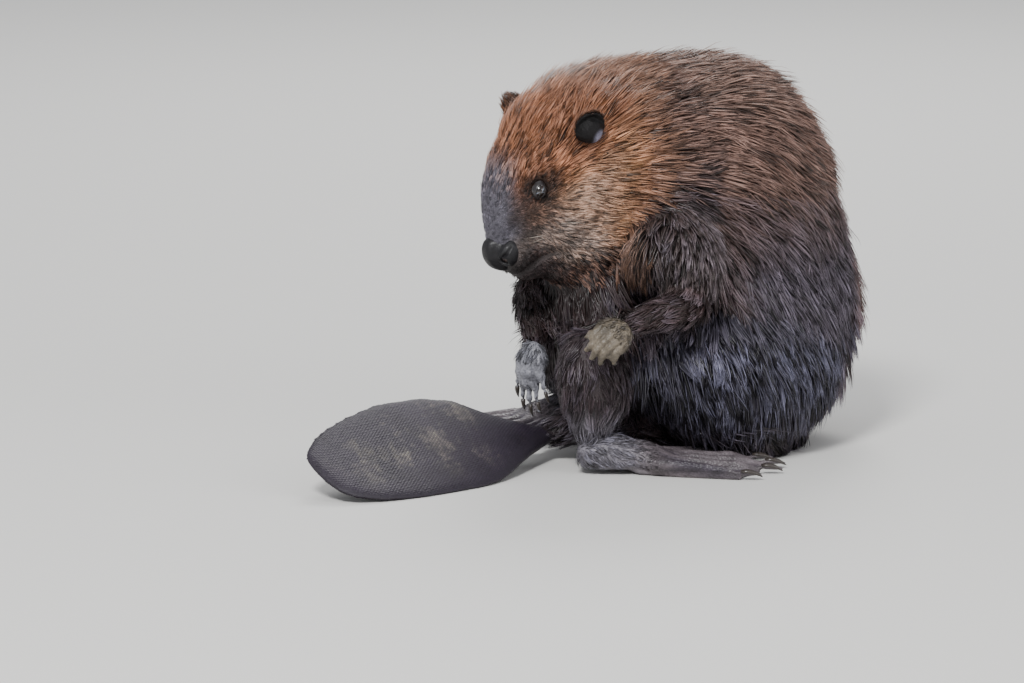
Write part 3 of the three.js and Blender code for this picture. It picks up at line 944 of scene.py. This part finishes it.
def grow(name, skin, weight, count, sizes, seed, look):
    """Tufts over the part of the skin that has weight, drawn together in locks."""
    dice = np.random.default_rng(seed)
    index, shares = skin.roots(weight, count, dice)
    root = skin.at(skin.points, index, shares)
    out = unit(skin.at(skin.normals, index, shares))
    flow = skin.at(skin.flow, index, shares)
    guard = dice.uniform(0, 1, count) < look["guard"]
    length = skin.at(skin.length, index, shares) * dice.uniform(0.7, 1.15, count)
    length *= np.where(guard, GUARD_LENGTH, 1.0)
    tone = skin.at(skin.tone, index, shares)
    place = np.sum(skin.map[index] * shares[:, :, None], axis=1)

    clumps = max(int(count / look["lock"]), 1)
    tree = KDTree(clumps)
    leaders = dice.choice(count, clumps, replace=False)
    for k, leader in enumerate(leaders):
        tree.insert(Vector(root[leader]), k)
    tree.balance()
    lock = np.array([tree.find(Vector(p))[1] for p in root])
    lead = leaders[lock]

    side = unit(np.cross(flow, out))
    sway = dice.normal(0, look["fray"], count) + dice.normal(0, 0.11, clumps)[lock]
    sway += 0.17 * ripple(root, 34, seed) + 0.1 * ripple(root, 12, seed + 1)
    flow = along(unit(flow + side * sway[:, None]), out)
    side = unit(np.cross(flow, out))
    lift = sizes.lift * look["lift"] * dice.uniform(0.5, 1.3, count)
    lift *= np.where(guard, GUARD_LIFT, 1.0)
    lift *= dice.uniform(0.75, 1.25, clumps)[lock]
    rise, run = (length * np.sin(lift))[:, None], (length * np.cos(lift))[:, None]
    shares_along = np.linspace(0.0, 0.78, look["rings"]) if look["rings"] > 2 else (0.0, 0.52)
    pull = sizes.clump * look["clump"] * dice.uniform(0.45, 1.2, count)[:, None]
    pull = np.where(guard[:, None], pull * GUARD_PULL, pull)
    centres = []
    for t in (*shares_along, 1.0):
        own = root + out * rise * (t - 0.45 * t * t) + flow * run * t
        centres.append(own + (own[lead] - own) * np.clip(pull * t ** 1.4, 0.0, 0.9))
    centres[0] = centres[0] - out * ROOT_DEPTH
    for centre in centres:
        centre[:, 2] = np.maximum(centre[:, 2], FLOOR_GAP)
    wide = sizes.tuft_width * look["width"] * dice.uniform(0.6, 1.3, count) / 2
    wide *= np.clip(length / (26 * MM), 0.28, 1.1) * np.where(guard, GUARD_WIDTH, 1.0)
    taper = np.array((0.8, 1.0, 0.62)) if look["rings"] > 2 else np.array((0.85, 0.9))
    widths = wide[:, None] * taper[None]

    # light is a random brightness per lock and tuft: it varies the tone, and its dim end paints the shade in
    # the gaps between locks
    light = dice.uniform(0, 1, clumps)[lock] * 0.65 + dice.uniform(0, 1, count) * 0.35
    light = np.where(guard, np.maximum(light, 0.62), light)
    # streak marks the lit tips that take a painted highlight in the look's tip colour
    streak = step(light, 0.42, 0.86) * look["shine"] * step(length, 4 * MM, 13 * MM)
    patchy = 1.0 + 0.14 * ripple(root, 45, seed + 2) + dice.normal(0, 0.15, clumps)[lock]
    base = tone * np.clip(patchy * (0.06 + 1.42 * light), 0.08, 1.75)[:, None]
    tip = base + (np.array(look["tip"]) * (0.7 + 0.3 * unit(tone) / 0.577) - base) * streak[:, None]
    # The dark root is painted shade deep in the coat; the tip carries the painted highlight
    near, middle = base * 0.38, base * 0.85 + tip * 0.15
    upper = base * 0.45 + tip * 0.55
    stages = (near, middle, upper) if look["rings"] > 2 else (near, upper)
    colours = np.stack([stage for stage in stages for _corner in range(3)] + [tip], axis=1)
    return tuft_mesh(name, np.stack(centres[:-1], axis=1), widths, centres[-1], side, out, colours, place)


class BEAVER_OT_coat(bpy.types.Operator):
    """Locks of fur over the skin, in pieces by region"""
    bl_idname = "beaver.coat"
    bl_label = "Coat"

    def execute(self, context):
        sizes = context.scene.beaver_sizes
        skin = Skin("skin")
        at = skin.middle / MM - BODY_ORIGIN
        skull = local(skin.middle, SKULL)
        growing = skin.long_fur(1.5 * MM, 3.0 * MM)
        growing *= step(eye_distance(skin.middle), 7.2 * MM, 9.2 * MM) * (1.0 - nose_patch(skin.middle))
        growing *= self.lip_gap(skull)
        x, y, z = at.T
        ahead, across, above = skull.T
        face = (ahead > -80) & (above > -64) & (ahead < 30) & (np.abs(across) < 70)
        crown = ~face & (cheek_edge(at) < 6.0) & (z > 172)
        front = (x < -72) & ~face & ~crown
        rest = ~face & ~crown & ~front
        left, high, lower = y < -6, z > 232, z < 122
        # Painted highlight colours for the lit tips of locks; silver is the painted sheen of wet fur
        warm_highlight = rgb(0.80, 0.66, 0.57)
        silver_highlight = rgb(0.64, 0.65, 0.74)
        mauve_highlight = rgb(0.74, 0.645, 0.605)
        dusk_highlight = rgb(0.62, 0.60, 0.655)
        # width, lift, clump and shine are factors, fray the spread of directions, tip the colour of lit ends,
        # lock the tufts to a lock, guard the share of guard hairs and rings the sections of a tuft
        fine = {"width": 1.05, "lift": 0.5, "clump": 1.3, "shine": 0.75, "fray": 0.1, "tip": warm_highlight, "lock": 9,
                "guard": 0.18, "rings": 2}
        long = {"width": 1.0, "lift": 0.72, "clump": 1.15, "shine": 0.75, "fray": 0.14, "tip": mauve_highlight,
                "lock": 10, "guard": 0.2, "rings": 3}
        wet = long | {"width": 1.12, "lift": 0.6, "clump": 1.45, "tip": silver_highlight, "lock": 13, "shine": 0.78}
        damp = long | {"clump": 1.3, "tip": dusk_highlight}
        thick = fine | {"lift": 0.68, "clump": 1.4, "lock": 10, "guard": 0.24}
        regions = (
            ("coat_face", face, 19400, fine),
            ("coat_crown", crown, 19000, thick),
            ("coat_chest", front, 10400, wet | {"width": 0.95, "shine": 0.35}),
            ("coat_shoulder", rest & high, 12000, long),
            ("coat_flank_left", rest & ~lower & ~high & left, 12000, damp),
            ("coat_flank_right", rest & ~lower & ~high & ~left, 9600, damp),
            ("coat_haunch_left", rest & lower & left, 12000, wet),
            ("coat_haunch_right", rest & lower & ~left, 9400, wet),
        )
        paws, ears = Skin("paws"), Skin("ears")
        jobs = [(name, skin, growing * where, count, COAT_SEED + 7 * k, look,
                 0.33 if look["tip"] is silver_highlight else 0.42)
                for k, (name, where, count, look) in enumerate(regions)]
        jobs.append(("coat_paws", paws, paws.long_fur(0.8 * MM, 2.5 * MM), 5200, PAW_SEED,
                     fine | {"width": 1.4, "lift": 0.4, "tip": silver_highlight, "shine": 0.5}, 0.4))
        jobs.append(("coat_ears", ears, ears.long_fur(2.0 * MM, 5.0 * MM), 1800, EAR_SEED,
                     fine | {"lift": 0.5, "clump": 0.5, "lock": 5}, 0.45))
        for name, hide, weight, count, seed, look, gloss in jobs:
            mesh = grow(name, hide, weight, count, sizes, seed, look)
            new_piece(name, mesh, fur_material(name + "_fur", gloss))
        return {"FINISHED"}

    @staticmethod
    def lip_gap(skull):
        """0 along the line of the mouth and 1 away from it."""
        x, _y, z = skull.T
        return 1.0 - step(mouth_distance(x, z), 1.8, 0.8) * step(x, -28, -22) * step(x, 20, 10)


def nose_patch(points):
    """1 on the bare nose pad and 0 away from it."""
    at = local(points, SKULL)
    reach = np.linalg.norm((at - np.array((-3.0, 0.0, -4.0))) / (15.0, 20.5, 14.5), axis=1)
    return step(reach, 1.08, 0.94)


# ---- Small shapes ----


def swept(shape, path, radii, sides=8, flat=1.0, across=None):
    """A tapering rod along a path of points in metres, closed at both ends. flat squashes its section."""
    path = [Vector(p) for p in path]
    rings = []
    for k, point in enumerate(path):
        ahead = (path[min(k + 1, len(path) - 1)] - path[max(k - 1, 0)]).normalized()
        wide = (across or Vector((0, 0, 1))).cross(ahead)
        wide = wide.normalized() if wide.length > 1e-6 else ahead.orthogonal().normalized()
        deep = ahead.cross(wide).normalized()
        axes = Matrix((wide, deep, ahead)).transposed().to_4x4()
        squash = Matrix.Diagonal((radii[k] * MM, radii[k] * flat * MM, 1.0, 1.0))
        made = bmesh.ops.create_circle(shape, cap_ends=False, segments=sides, radius=1.0,
                                       matrix=Matrix.Translation(point) @ axes @ squash)
        rings.append(made["verts"])
    for low, high in zip(rings, rings[1:]):
        edges = [e for ring in (low, high) for v in ring for e in v.link_edges if e.other_vert(v) in ring]
        bmesh.ops.bridge_loops(shape, edges=list(dict.fromkeys(edges)))
    ends = [list(dict.fromkeys(e for v in ring for e in v.link_edges if e.other_vert(v) in ring))
            for ring in (rings[0], rings[-1])]
    for edges in ends:
        bmesh.ops.contextual_create(shape, geom=edges)


def sealed(name, shape):
    """A mesh of rods, with like corners merged and every face turned outward."""
    bmesh.ops.remove_doubles(shape, verts=shape.verts, dist=1e-6)
    bmesh.ops.recalc_face_normals(shape, faces=shape.faces)
    return to_mesh(name, shape)


def arc(points, count):
    """count points on a smooth curve through three points."""
    a, b, c = (Vector(p) for p in points)
    marks = [k / (count - 1) for k in range(count)]
    return [a.lerp(b, t).lerp(b.lerp(c, t), t) for t in marks]


# ---- Face ----


class BEAVER_OT_eyes(bpy.types.Operator):
    """Dark, wet eyeballs in rims of bare lid"""
    bl_idname = "beaver.eyes"
    bl_label = "Eyes"

    def execute(self, context):
        tones = context.scene.beaver_colours
        balls = bmesh.new()
        rims = bmesh.new()
        depths = []
        for name, side in SIDES.items():
            centre = Vector(eye_centre(name))
            out = of_skull(0.30, side * 0.92, 0.12).normalized()
            ahead = of_skull(0.82, 0.0, -0.57)
            ahead = (ahead - out * ahead.dot(out)).normalized()
            over = out.cross(ahead) * side
            axes = Matrix((ahead, over, out)).transposed().to_4x4()
            place = Matrix.Translation(centre + out * 1.1 * MM) @ axes
            made = bmesh.ops.create_uvsphere(balls, u_segments=48, v_segments=40, radius=EYE_RADIUS * MM,
                                             matrix=place)
            inverse = place.inverted()
            for vertex in made["verts"]:
                spot = inverse @ vertex.co / MM
                front = spot.z / EYE_RADIUS
                if front > 0.8:
                    vertex.co += out * (front - 0.8) * 3.0 * MM
                depths.append(math.hypot(spot.x, spot.y) if front > 0 else 9.0)
            self.rim(rims, place)
        mesh = to_mesh("eyes", balls)
        ring = np.array(depths)
        iris = np.array(tones.eye)
        set_colour(mesh, layered(iris * 0.12, (iris, step(ring, 1.9, 2.5) * step(ring, 4, 3.3)),
                                 (IRIS_RING, 0.85 * step(ring, 3.2, 3.9) * step(ring, 5.2, 4.4))))
        eyes = new_piece("eyes", mesh, self.eye_material())
        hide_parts("eye_left", "eye_right")
        hide = plain_material("eyelid", tuple(tones.lid), 0.36, 0.3)
        new_piece("eyelids", sealed("eyelids", rims), hide)
        return {"FINISHED"}

    @staticmethod
    def rim(shape, place):
        """A soft ring of lid round the opening, spun as a torus and then pulled to an almond."""
        section = bmesh.ops.create_circle(shape, cap_ends=False, segments=10, radius=LID_WIDTH * MM,
                                          matrix=Matrix.Translation((EYE_RADIUS * MM, 0, 0)) @
                                          Matrix.Rotation(math.radians(90), 4, "X"))
        edges = list(dict.fromkeys(e for v in section["verts"] for e in v.link_edges))
        bmesh.ops.spin(shape, geom=section["verts"] + edges, cent=(0, 0, 0), axis=(0, 0, 1),
                       angle=math.tau, steps=40, use_merge=True, use_duplicate=False)
        todo, seen = list(section["verts"]), set(section["verts"])
        while todo:
            for edge in todo.pop().link_edges:
                for other in edge.verts:
                    if other not in seen:
                        seen.add(other)
                        todo.append(other)
        ball = EYE_RADIUS + 0.15
        for vertex in seen:
            x, y, z = vertex.co / MM
            around = math.atan2(y, x)
            off = math.hypot(x, y) - EYE_RADIUS
            cosine, sine = math.cos(around), math.sin(around)
            corner = 1.0 + 0.16 * abs(cosine) ** 6
            opening = Vector((4.8 * corner * cosine, (3.2 if y > 0 else 3.6) * sine, 0.0))
            flat = opening + Vector((cosine, sine, 0.0)) * (off + LID_WIDTH) * 1.05
            height = math.sqrt(max(ball * ball - min(flat.length, ball * 0.97) ** 2, 0.0))
            tuck = 0.55 * (off + LID_WIDTH) / LID_WIDTH
            vertex.co = place @ (Vector((flat.x, flat.y, height + z * 0.75 - tuck + 0.15)) * MM)

    @staticmethod
    def eye_material():
        paint = Paint("eye_wet", 0.1, coat=(1.0, 0.02))
        paint.base(paint.own_colour())
        return paint.material


class BEAVER_OT_nose(bpy.types.Operator):
    """The bare, wet nose pad"""
    bl_idname = "beaver.nose"
    bl_label = "Nose"

    def execute(self, context):
        mesh, _ends, points = soft_copy("nose_pad", ("nose",), OVERLAP, 0.8 * MM, 14)
        x, y, z = local(points, SKULL).T
        side = np.abs(y)
        wing = np.sqrt(((x - 1.0) / 9.0) ** 2 + ((side - 14.5) / 5.0) ** 2 + ((z + 1.0) / 8.0) ** 2)
        slit = np.hypot((side - 13.2 + 0.30 * (z + 3.0)) / 2.6, (z + 4.0) / 4.6)
        comma = np.hypot((side - 16.0) / 3.4, (z - 0.6) / 1.7)
        push = 0.4 * step(wing, 1.4, 0.5)
        push -= 4.6 * step(slit, 1.3, 0.2) * step(x, -9, -3)
        push -= 2.6 * step(comma, 1.2, 0.2) * step(x, -12, -4)
        push -= 0.8 * step(side, 1.3, 0.2) * step(z, -3, -8)
        push += 3.4 * step(side, 10, 3) * step(x, -12, -2)
        move_to(mesh, points + normals(mesh) * push[:, None] * MM)
        tone = self.leather(tuple(context.scene.beaver_colours.nose))
        piece = new_piece("nose_pad", mesh, tone)
        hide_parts("nose")
        return {"FINISHED"}

    @staticmethod
    def leather(colour):
        """Fine pebbled leather with a wet sheen."""
        paint = Paint("nose_leather", 0.46, 0.3, (0.12, 0.25))
        paint.base(paint.one_colour(colour), paint.ramp(paint.noise(260.0, 4.0), 0.3, 0.7, 0.7, 1.35))
        paint.bump(paint.cells(1500.0), 0.45, 0.0005)
        return paint.material


class BEAVER_OT_ears(bpy.types.Operator):
    """Small round ears, bare and dark within, fringed with short fur"""
    bl_idname = "beaver.ears"
    bl_label = "Ears"

    def execute(self, context):
        mesh, ends, points = soft_copy("ears", ("ear_left", "ear_right"), 0.3 * MM, 0.9 * MM, 9)
        outward = normals(mesh)
        moved = points + outward * (0.35 * ripple(points, 9, 71) * MM)[:, None]
        move_to(mesh, moved)
        dip = np.sum((relaxed(points, ends, 60) - points) * outward, axis=1) / MM
        skull = local(moved, SKULL)
        side, one = np.sign(skull[:, 1]), np.ones(len(skull))
        face = turned(np.column_stack((0.3 * one, 0.92 * side, -0.1 * one)), SKULL)
        grown = turned(np.column_stack((-0.55 * one, 0.34 * side, 0.7 * one)), SKULL)
        hidden = step(np.sum(outward * face, axis=1), 0.5, -0.1)
        # Painted highlights: a lighter rim where the ear bulges, and a grey lit spot on the lower lobe
        lobe_highlight = np.hypot(skull[:, 0] + 118.0, skull[:, 2] - 17.0) / 9.0
        colour = layered(EAR_BLACK, (EAR_RIM_HIGHLIGHT, 0.5 * step(dip, 0, -2)), (EAR_LOBE_HIGHLIGHT, 0.9 * step(lobe_highlight, 1, 0.35)))
        set_fields(mesh, along(grown, outward), 7.5 * MM * hidden,
                   layered(colour, (CHESTNUT * 0.45, 0.7 * hidden)), colour)
        piece = new_piece("ears", mesh, hide_material("ear_leather", 0.55, 0.35, 900.0, 0.22))
        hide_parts("ear_left", "ear_right")
        unwrap(context, piece)
        return {"FINISHED"}


class BEAVER_OT_whiskers(bpy.types.Operator):
    """Stiff whiskers swept back from the muzzle"""
    bl_idname = "beaver.whiskers"
    bl_label = "Whiskers"

    def execute(self, context):
        dice = np.random.default_rng(WHISKER_SEED)
        shape = bmesh.new()
        surface = BVHTree.FromObject(bpy.data.objects["skin"], context.evaluated_depsgraph_get())
        for side in SIDES.values():
            for k in range(context.scene.beaver_sizes.whiskers):
                x, z = dice.uniform(-40, -20), dice.uniform(-19, -3)
                start = SKULL @ Vector((x * MM, side * 90 * MM, z * MM))
                inward = of_skull(0.0, -side, 0.0)
                hit = surface.ray_cast(start, inward)[0]
                if hit is None:
                    raise RuntimeError("no muzzle under a whisker")
                long = dice.uniform(26, 48) * MM
                way = of_skull(-0.75, side * dice.uniform(0.35, 0.8), dice.uniform(-0.5, 0.05)).normalized()
                droop = Vector((0, 0, -0.22)) * long
                path = arc((hit + inward * MM, hit + way * long * 0.5, hit + way * long + droop), 4)
                swept(shape, path, (0.34, 0.28, 0.2, 0.06), sides=3)
        tone = plain_material("whisker", linear(0.66, 0.62, 0.58), 0.35)
        new_piece("whiskers", sealed("whiskers", shape), tone)
        return {"FINISHED"}


# ---- Paws ----


def finger_end(hand, i):
    """The tip and the way of a finger, in the hand's own millimetres."""
    root = Vector((HAND_LENGTH * (0.72 - 0.05 * i * i), i * FINGER_STEP, -1.0))
    length, turn, bend = 25 - 1.6 * i * i, math.radians(i * 6), math.radians(HAND_CURL[hand])
    middle = root + Vector((math.cos(turn), math.sin(turn), 0)) * length * 0.5
    fold = 0.5 + 0.5 * math.cos(bend)
    tip = Vector((root.x + length * math.cos(turn) * fold, root.y + length * math.sin(turn) * fold,
                  root.z - 0.5 * length * math.sin(bend)))
    return tip, (tip - middle).normalized()


def toe_tip(i):
    return HIND_FOOT - 7 * i * i, i * HIND_SPREAD / 4


class BEAVER_OT_paws(bpy.types.Operator):
    """Bare hands and webbed hind feet"""
    bl_idname = "beaver.paws"
    bl_label = "Paws"

    def execute(self, context):
        solids, which = node_copies(PAWS, 0.25 * MM)
        mesh = remeshed("paws", solids, context.scene.beaver_sizes.paw_voxel)
        ends, points = edge_ends(mesh), positions(mesh)
        nodes_of = node_of(points, solids, which)
        solids.free()
        points = relaxed(points, ends, 7)
        heel = np.maximum.reduce([step(local(points, FEET[name])[:, 0], 96, 50) *
                                  (nodes_of == PAWS.index("foot_" + name)) for name in SIDES])
        points = melted(points, ends, 0.7 * heel, HEEL_PASSES)
        move_to(mesh, points)
        move_to(mesh, self.sculpted(points, normals(mesh)))
        points = positions(mesh)
        points[:, 2] = np.maximum(points[:, 2], 0.0)
        move_to(mesh, points)
        flow, length, colour = fields_of(points, nodes_of, PAWS)
        worn = 1.0 + 0.2 * ripple(points, 14, 61) + 0.12 * ripple(points, 5, 62)
        set_fields(mesh, along(flow, normals(mesh)), relaxed(length, ends, 4) * MM, colour,
                   relaxed(colour, ends, 3) * worn[:, None])
        piece = new_piece("paws", mesh, hide_material("paw_hide", 0.45, 0.5, 520.0))
        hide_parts(*PAWS)
        unwrap(context, piece)
        return {"FINISHED"}

    @staticmethod
    def sculpted(points, outward):
        """Creases across the joints of the toes and a thin, sagging web between them."""
        push = np.zeros(len(points))
        for name in SIDES:
            at = local(points, FEET[name])
            x, _y, z = at.T
            near = step(np.linalg.norm(at / (190.0, 75.0, 60.0), axis=1), 1.2, 0.95)
            between = between_toes(at)
            top = step(z, 2, 4)
            push -= 1.6 * (step(between, 0.4, 0.9) * step(x, 66, 90) * step(z, 12, 8)) * near * top
            push += 1.5 * (step(x, 50, 68) * step(x, 118, 72) * step(z, 4, 8)) * near
            folds = np.sin(x / 5.2) * step(x, 60, 80) * (1.0 - step(between, 0.4, 0.7))
            push += 0.35 * folds * near * top
            at = local(points, HANDS[name])
            x = at[:, 0]
            near = step(np.linalg.norm((at - (25.0, 0.0, -4.0)) / (40.0, 26.0, 26.0), axis=1), 1.2, 0.9)
            lane = at[:, 1] / FINGER_STEP
            gap = np.abs(lane - np.round(lane)) * 2.0
            push -= 2.2 * step(gap, 0.45, 1) * step(x, 6, 20) * near
            push += 0.5 * np.sin(x / 1.6) * near * step(gap, 0.9, 0.5) * step(x, 12, 22)
        return points + outward * push[:, None] * MM


class BEAVER_OT_claws(bpy.types.Operator):
    """Curved claws on the hands and flat nails on the hind toes"""
    bl_idname = "beaver.claws"
    bl_label = "Claws"

    def execute(self, context):
        shape = bmesh.new()
        for name in SIDES:
            for i in (-2, -1, 0, 1, 2):
                tip, way = finger_end(name, i)
                down = Vector((0, 0, -1)) if HAND_CURL[name] < 45 else Vector((-1, 0, 0))
                path = arc((tip - way * 1.0, tip + way * 4.5 - down * 0.8, tip + way * 9.5 + down * 1.4), 6)
                path = [HANDS[name] @ (p * MM) for p in path]
                swept(shape, path, (1.9, 2.1, 1.9, 1.5, 0.9, 0.25), sides=8, flat=0.8)
                x, y = toe_tip(i)
                path = arc(((x - 3, y, 7.6), (x + 7, y, 8.4), (x + 15, y, 2.6)), 6)
                path = [FEET[name] @ (p * MM) for p in path]
                swept(shape, path, (2.0, 3.3, 3.6, 3.2, 2.3, 0.7), sides=10, flat=0.55)
        tone = plain_material("claw_horn", tuple(context.scene.beaver_colours.claw), 0.38, 0.2)
        new_piece("claws", sealed("claws", shape), tone)
        return {"FINISHED"}


# ---- Tail ----


class BEAVER_OT_scales(bpy.types.Operator):
    """Small overlapping scales over both faces of the tail"""
    bl_idname = "beaver.scales"
    bl_label = "Tail scales"

    def execute(self, context):
        long = context.scene.beaver_sizes.scale_length
        skin = bpy.data.objects["skin"]
        surface = BVHTree.FromObject(skin, context.evaluated_depsgraph_get())
        for face, up in (("upper", 1.0), ("under", -1.0)):
            mesh = self.sheet("scales_" + face, surface, up, long)
            tone = self.material("scale_" + face)
            new_piece("scales_" + face, mesh, tone, smooth=False)
        return {"FINISHED"}

    @staticmethod
    def sheet(name, surface, up, long):
        """Hexagonal scales set in rows across the blade, each dropped onto the skin."""
        wide, row_step = long * SCALE_WIDTH, long * SCALE_ROWS
        rows, columns = int(TAIL_LENGTH * MM / row_step), int(BLADE_SPAN / wide)
        down = turned(np.array((0.0, 0.0, -up))[None], TAIL)[0]
        seats, outs = [], []
        for row in range(rows):
            for column in range(columns):
                x = row * row_step + 4 * MM
                y = (column - columns / 2 + 0.5 * (row % 2)) * wide
                start = TAIL @ Vector((x, y, SCALE_RAY * up))
                hit, normal, _face, _far = surface.ray_cast(start, Vector(down))
                if hit is None or normal.dot(Vector(down)) > -RIM_SLOPE:
                    continue
                spot = (TAIL.inverted() @ hit) / MM
                if spot.z > BLADE_TOP or spot.x > TAIL_LENGTH + 6:
                    continue
                seats.append(hit)
                outs.append(normal)
        seats, outs = np.array(seats), np.array(outs)
        ahead = along(turned(np.array((1.0, 0.0, 0.0))[None], TAIL), outs)
        side = np.cross(outs, ahead)
        dice = np.random.default_rng(SCALE_SEED)
        at = local(seats, TAIL)
        slope = np.abs(outs @ down)
        size = (dice.uniform(0.88, 1.12, len(seats)) * (0.5 + 0.5 * step(slope, 0.6, 0.94)))[:, None]
        outline = ((-0.5, 0.0, 0.0), (-0.3, 0.46, 0.1), (0.3, 0.44, 0.2), (0.6, 0.0, 0.26),
                   (0.3, -0.44, 0.2), (-0.3, -0.46, 0.1), (0.05, 0.0, 0.5))
        points = np.stack([seats + (ahead * x * long + side * y * wide * 1.08) * size +
                           outs * (z * 0.8 * size ** 2 - 0.12) * MM for x, y, z in outline], axis=1)
        fan = [(k, (k + 1) % 6, 6) for k in range(6)]
        a, b, c = (points[0, k] for k in fan[0])
        if np.dot(np.cross(b - a, c - a), outs[0]) < 0:
            fan = [(b, a, c) for a, b, c in fan]
        count, per = len(seats), len(outline)
        mesh, loops = joined_copies(name, points, fan)
        mud = step(ripple(seats, 48, 31) + 0.5 * ripple(seats, 7, 32), -0.1, 1.9)
        mud *= dice.uniform(0.55, 1.0, count)
        mud *= step(np.abs(at[:, 0] - 130), 120, 50) * step(np.abs(at[:, 1] + 6), 52, 26)
        tone = layered(TAIL_CHARCOAL, (MUD, 0.55 * mud))
        tone = tone * (1.0 + 0.2 * ripple(seats, 24, 33) + dice.normal(0, 0.1, count))[:, None]
        colours = np.repeat(tone[:, None, :], per, axis=1)
        colours[:, :2] *= 0.6  # the covered root, darkened as painted shade under the scale before it
        colours[:, 2:5] *= 1.8  # the lighter front edge
        colours[:, 6] *= 0.85  # the dome
        set_colour(mesh, colours.reshape(-1, 3))
        flat_at = at[:, :2] / np.array((300.0, 300.0)) + np.array((0.02, 0.5))
        corner = np.array([(x, y) for x, y, _z in outline]) * PATCH
        set_map(mesh, loops, flat_at[:, None, :] + corner[None])
        return mesh

    @staticmethod
    def material(name):
        paint = Paint(name, 0.5, 0.32)
        paint.base(paint.own_colour())
        paint.bump(paint.noise(800.0, 3.0), 0.3, 0.0004)
        return paint.material


# ---- Studio ----


class BEAVER_OT_stage(bpy.types.Operator):
    """Pale floor, soft lights and the camera"""
    bl_idname = "beaver.stage"
    bl_label = "Stage"

    def execute(self, context):
        shape = bmesh.new()
        bmesh.ops.create_grid(shape, x_segments=1, y_segments=1, size=8.0)
        mesh = to_mesh("floor", shape)
        floor = placed("floor", mesh)
        paint = Paint("studio_floor", 0.9)
        paint.set(paint.shader, {"Base Color": (*tuple(context.scene.beaver_colours.floor), 1.0)})
        mesh.materials.append(paint.material)

        world = context.scene.world or bpy.data.worlds.new("studio")
        context.scene.world = world
        world.use_nodes = True
        Paint.set(world.node_tree.nodes["Background"], {"Color": (0.93, 0.95, 1.0, 1.0), "Strength": 0.6})
        for lamp in LAMPS:
            self.lamp(*lamp)
        context.scene.camera = self.camera()
        return {"FINISHED"}

    @staticmethod
    def lamp(name, spot, size, power):
        light = bpy.data.lights.new(name, "AREA")
        light.shape = "DISK"
        light.size = size
        light.energy = power
        lamp = placed(name, light)
        lamp.location = spot
        lamp.rotation_euler = (Vector((0, 0, 0.15)) - Vector(spot)).to_track_quat("-Z", "Y").to_euler()

    @staticmethod
    def camera():
        turn, rise = math.radians(CAMERA_AZIMUTH), math.radians(CAMERA_ELEVATION)
        back = Vector((math.sin(turn) * math.cos(rise), -math.cos(turn) * math.cos(rise), math.sin(rise)))
        right = Vector((math.cos(turn), math.sin(turn), 0))
        up = back.cross(right)
        aim = body_point((0, 0, 0)) + (right * FRAME_CENTRE[0] + up * FRAME_CENTRE[1]) * MM
        data = bpy.data.cameras.new("camera")
        data.sensor_width = SENSOR_WIDTH
        data.lens = SENSOR_WIDTH * CAMERA_DISTANCE / FRAME_WIDTH
        camera = placed("camera", data)
        camera.location = aim + back * CAMERA_DISTANCE
        camera.rotation_euler = Matrix((right, up, back)).transposed().to_euler()
        return camera


class BEAVER_PT_panel(bpy.types.Panel):
    """The beaver's sizes, colours and pieces"""
    bl_idname = "BEAVER_PT_panel"
    bl_label = "Sitting Beaver"
    bl_space_type = "VIEW_3D"
    bl_region_type = "UI"
    bl_category = "Beaver"

    def draw(self, context):
        for group in (context.scene.beaver_sizes, context.scene.beaver_colours):
            for name in group.__annotations__:
                self.layout.prop(group, name)
        for piece in PIECES:
            self.layout.operator(piece.bl_idname)


PIECES = (BEAVER_OT_skin, BEAVER_OT_paws, BEAVER_OT_ears, BEAVER_OT_coat, BEAVER_OT_eyes, BEAVER_OT_nose,
          BEAVER_OT_whiskers, BEAVER_OT_claws, BEAVER_OT_scales, BEAVER_OT_stage)
CLASSES = (BeaverSizes, BeaverColours) + PIECES + (BEAVER_PT_panel,)


def register():
    for each in CLASSES:
        bpy.utils.register_class(each)
    bpy.types.Scene.beaver_sizes = PointerProperty(type=BeaverSizes)
    bpy.types.Scene.beaver_colours = PointerProperty(type=BeaverColours)


def unregister():
    del bpy.types.Scene.beaver_colours
    del bpy.types.Scene.beaver_sizes
    for each in reversed(CLASSES):
        bpy.utils.unregister_class(each)


def main():
    register()
    for name in ("skin", "paws", "ears", "coat", "eyes", "nose", "whiskers", "claws", "scales", "stage"):
        getattr(bpy.ops.beaver, name)()


if __name__ == "__main__":
    main()
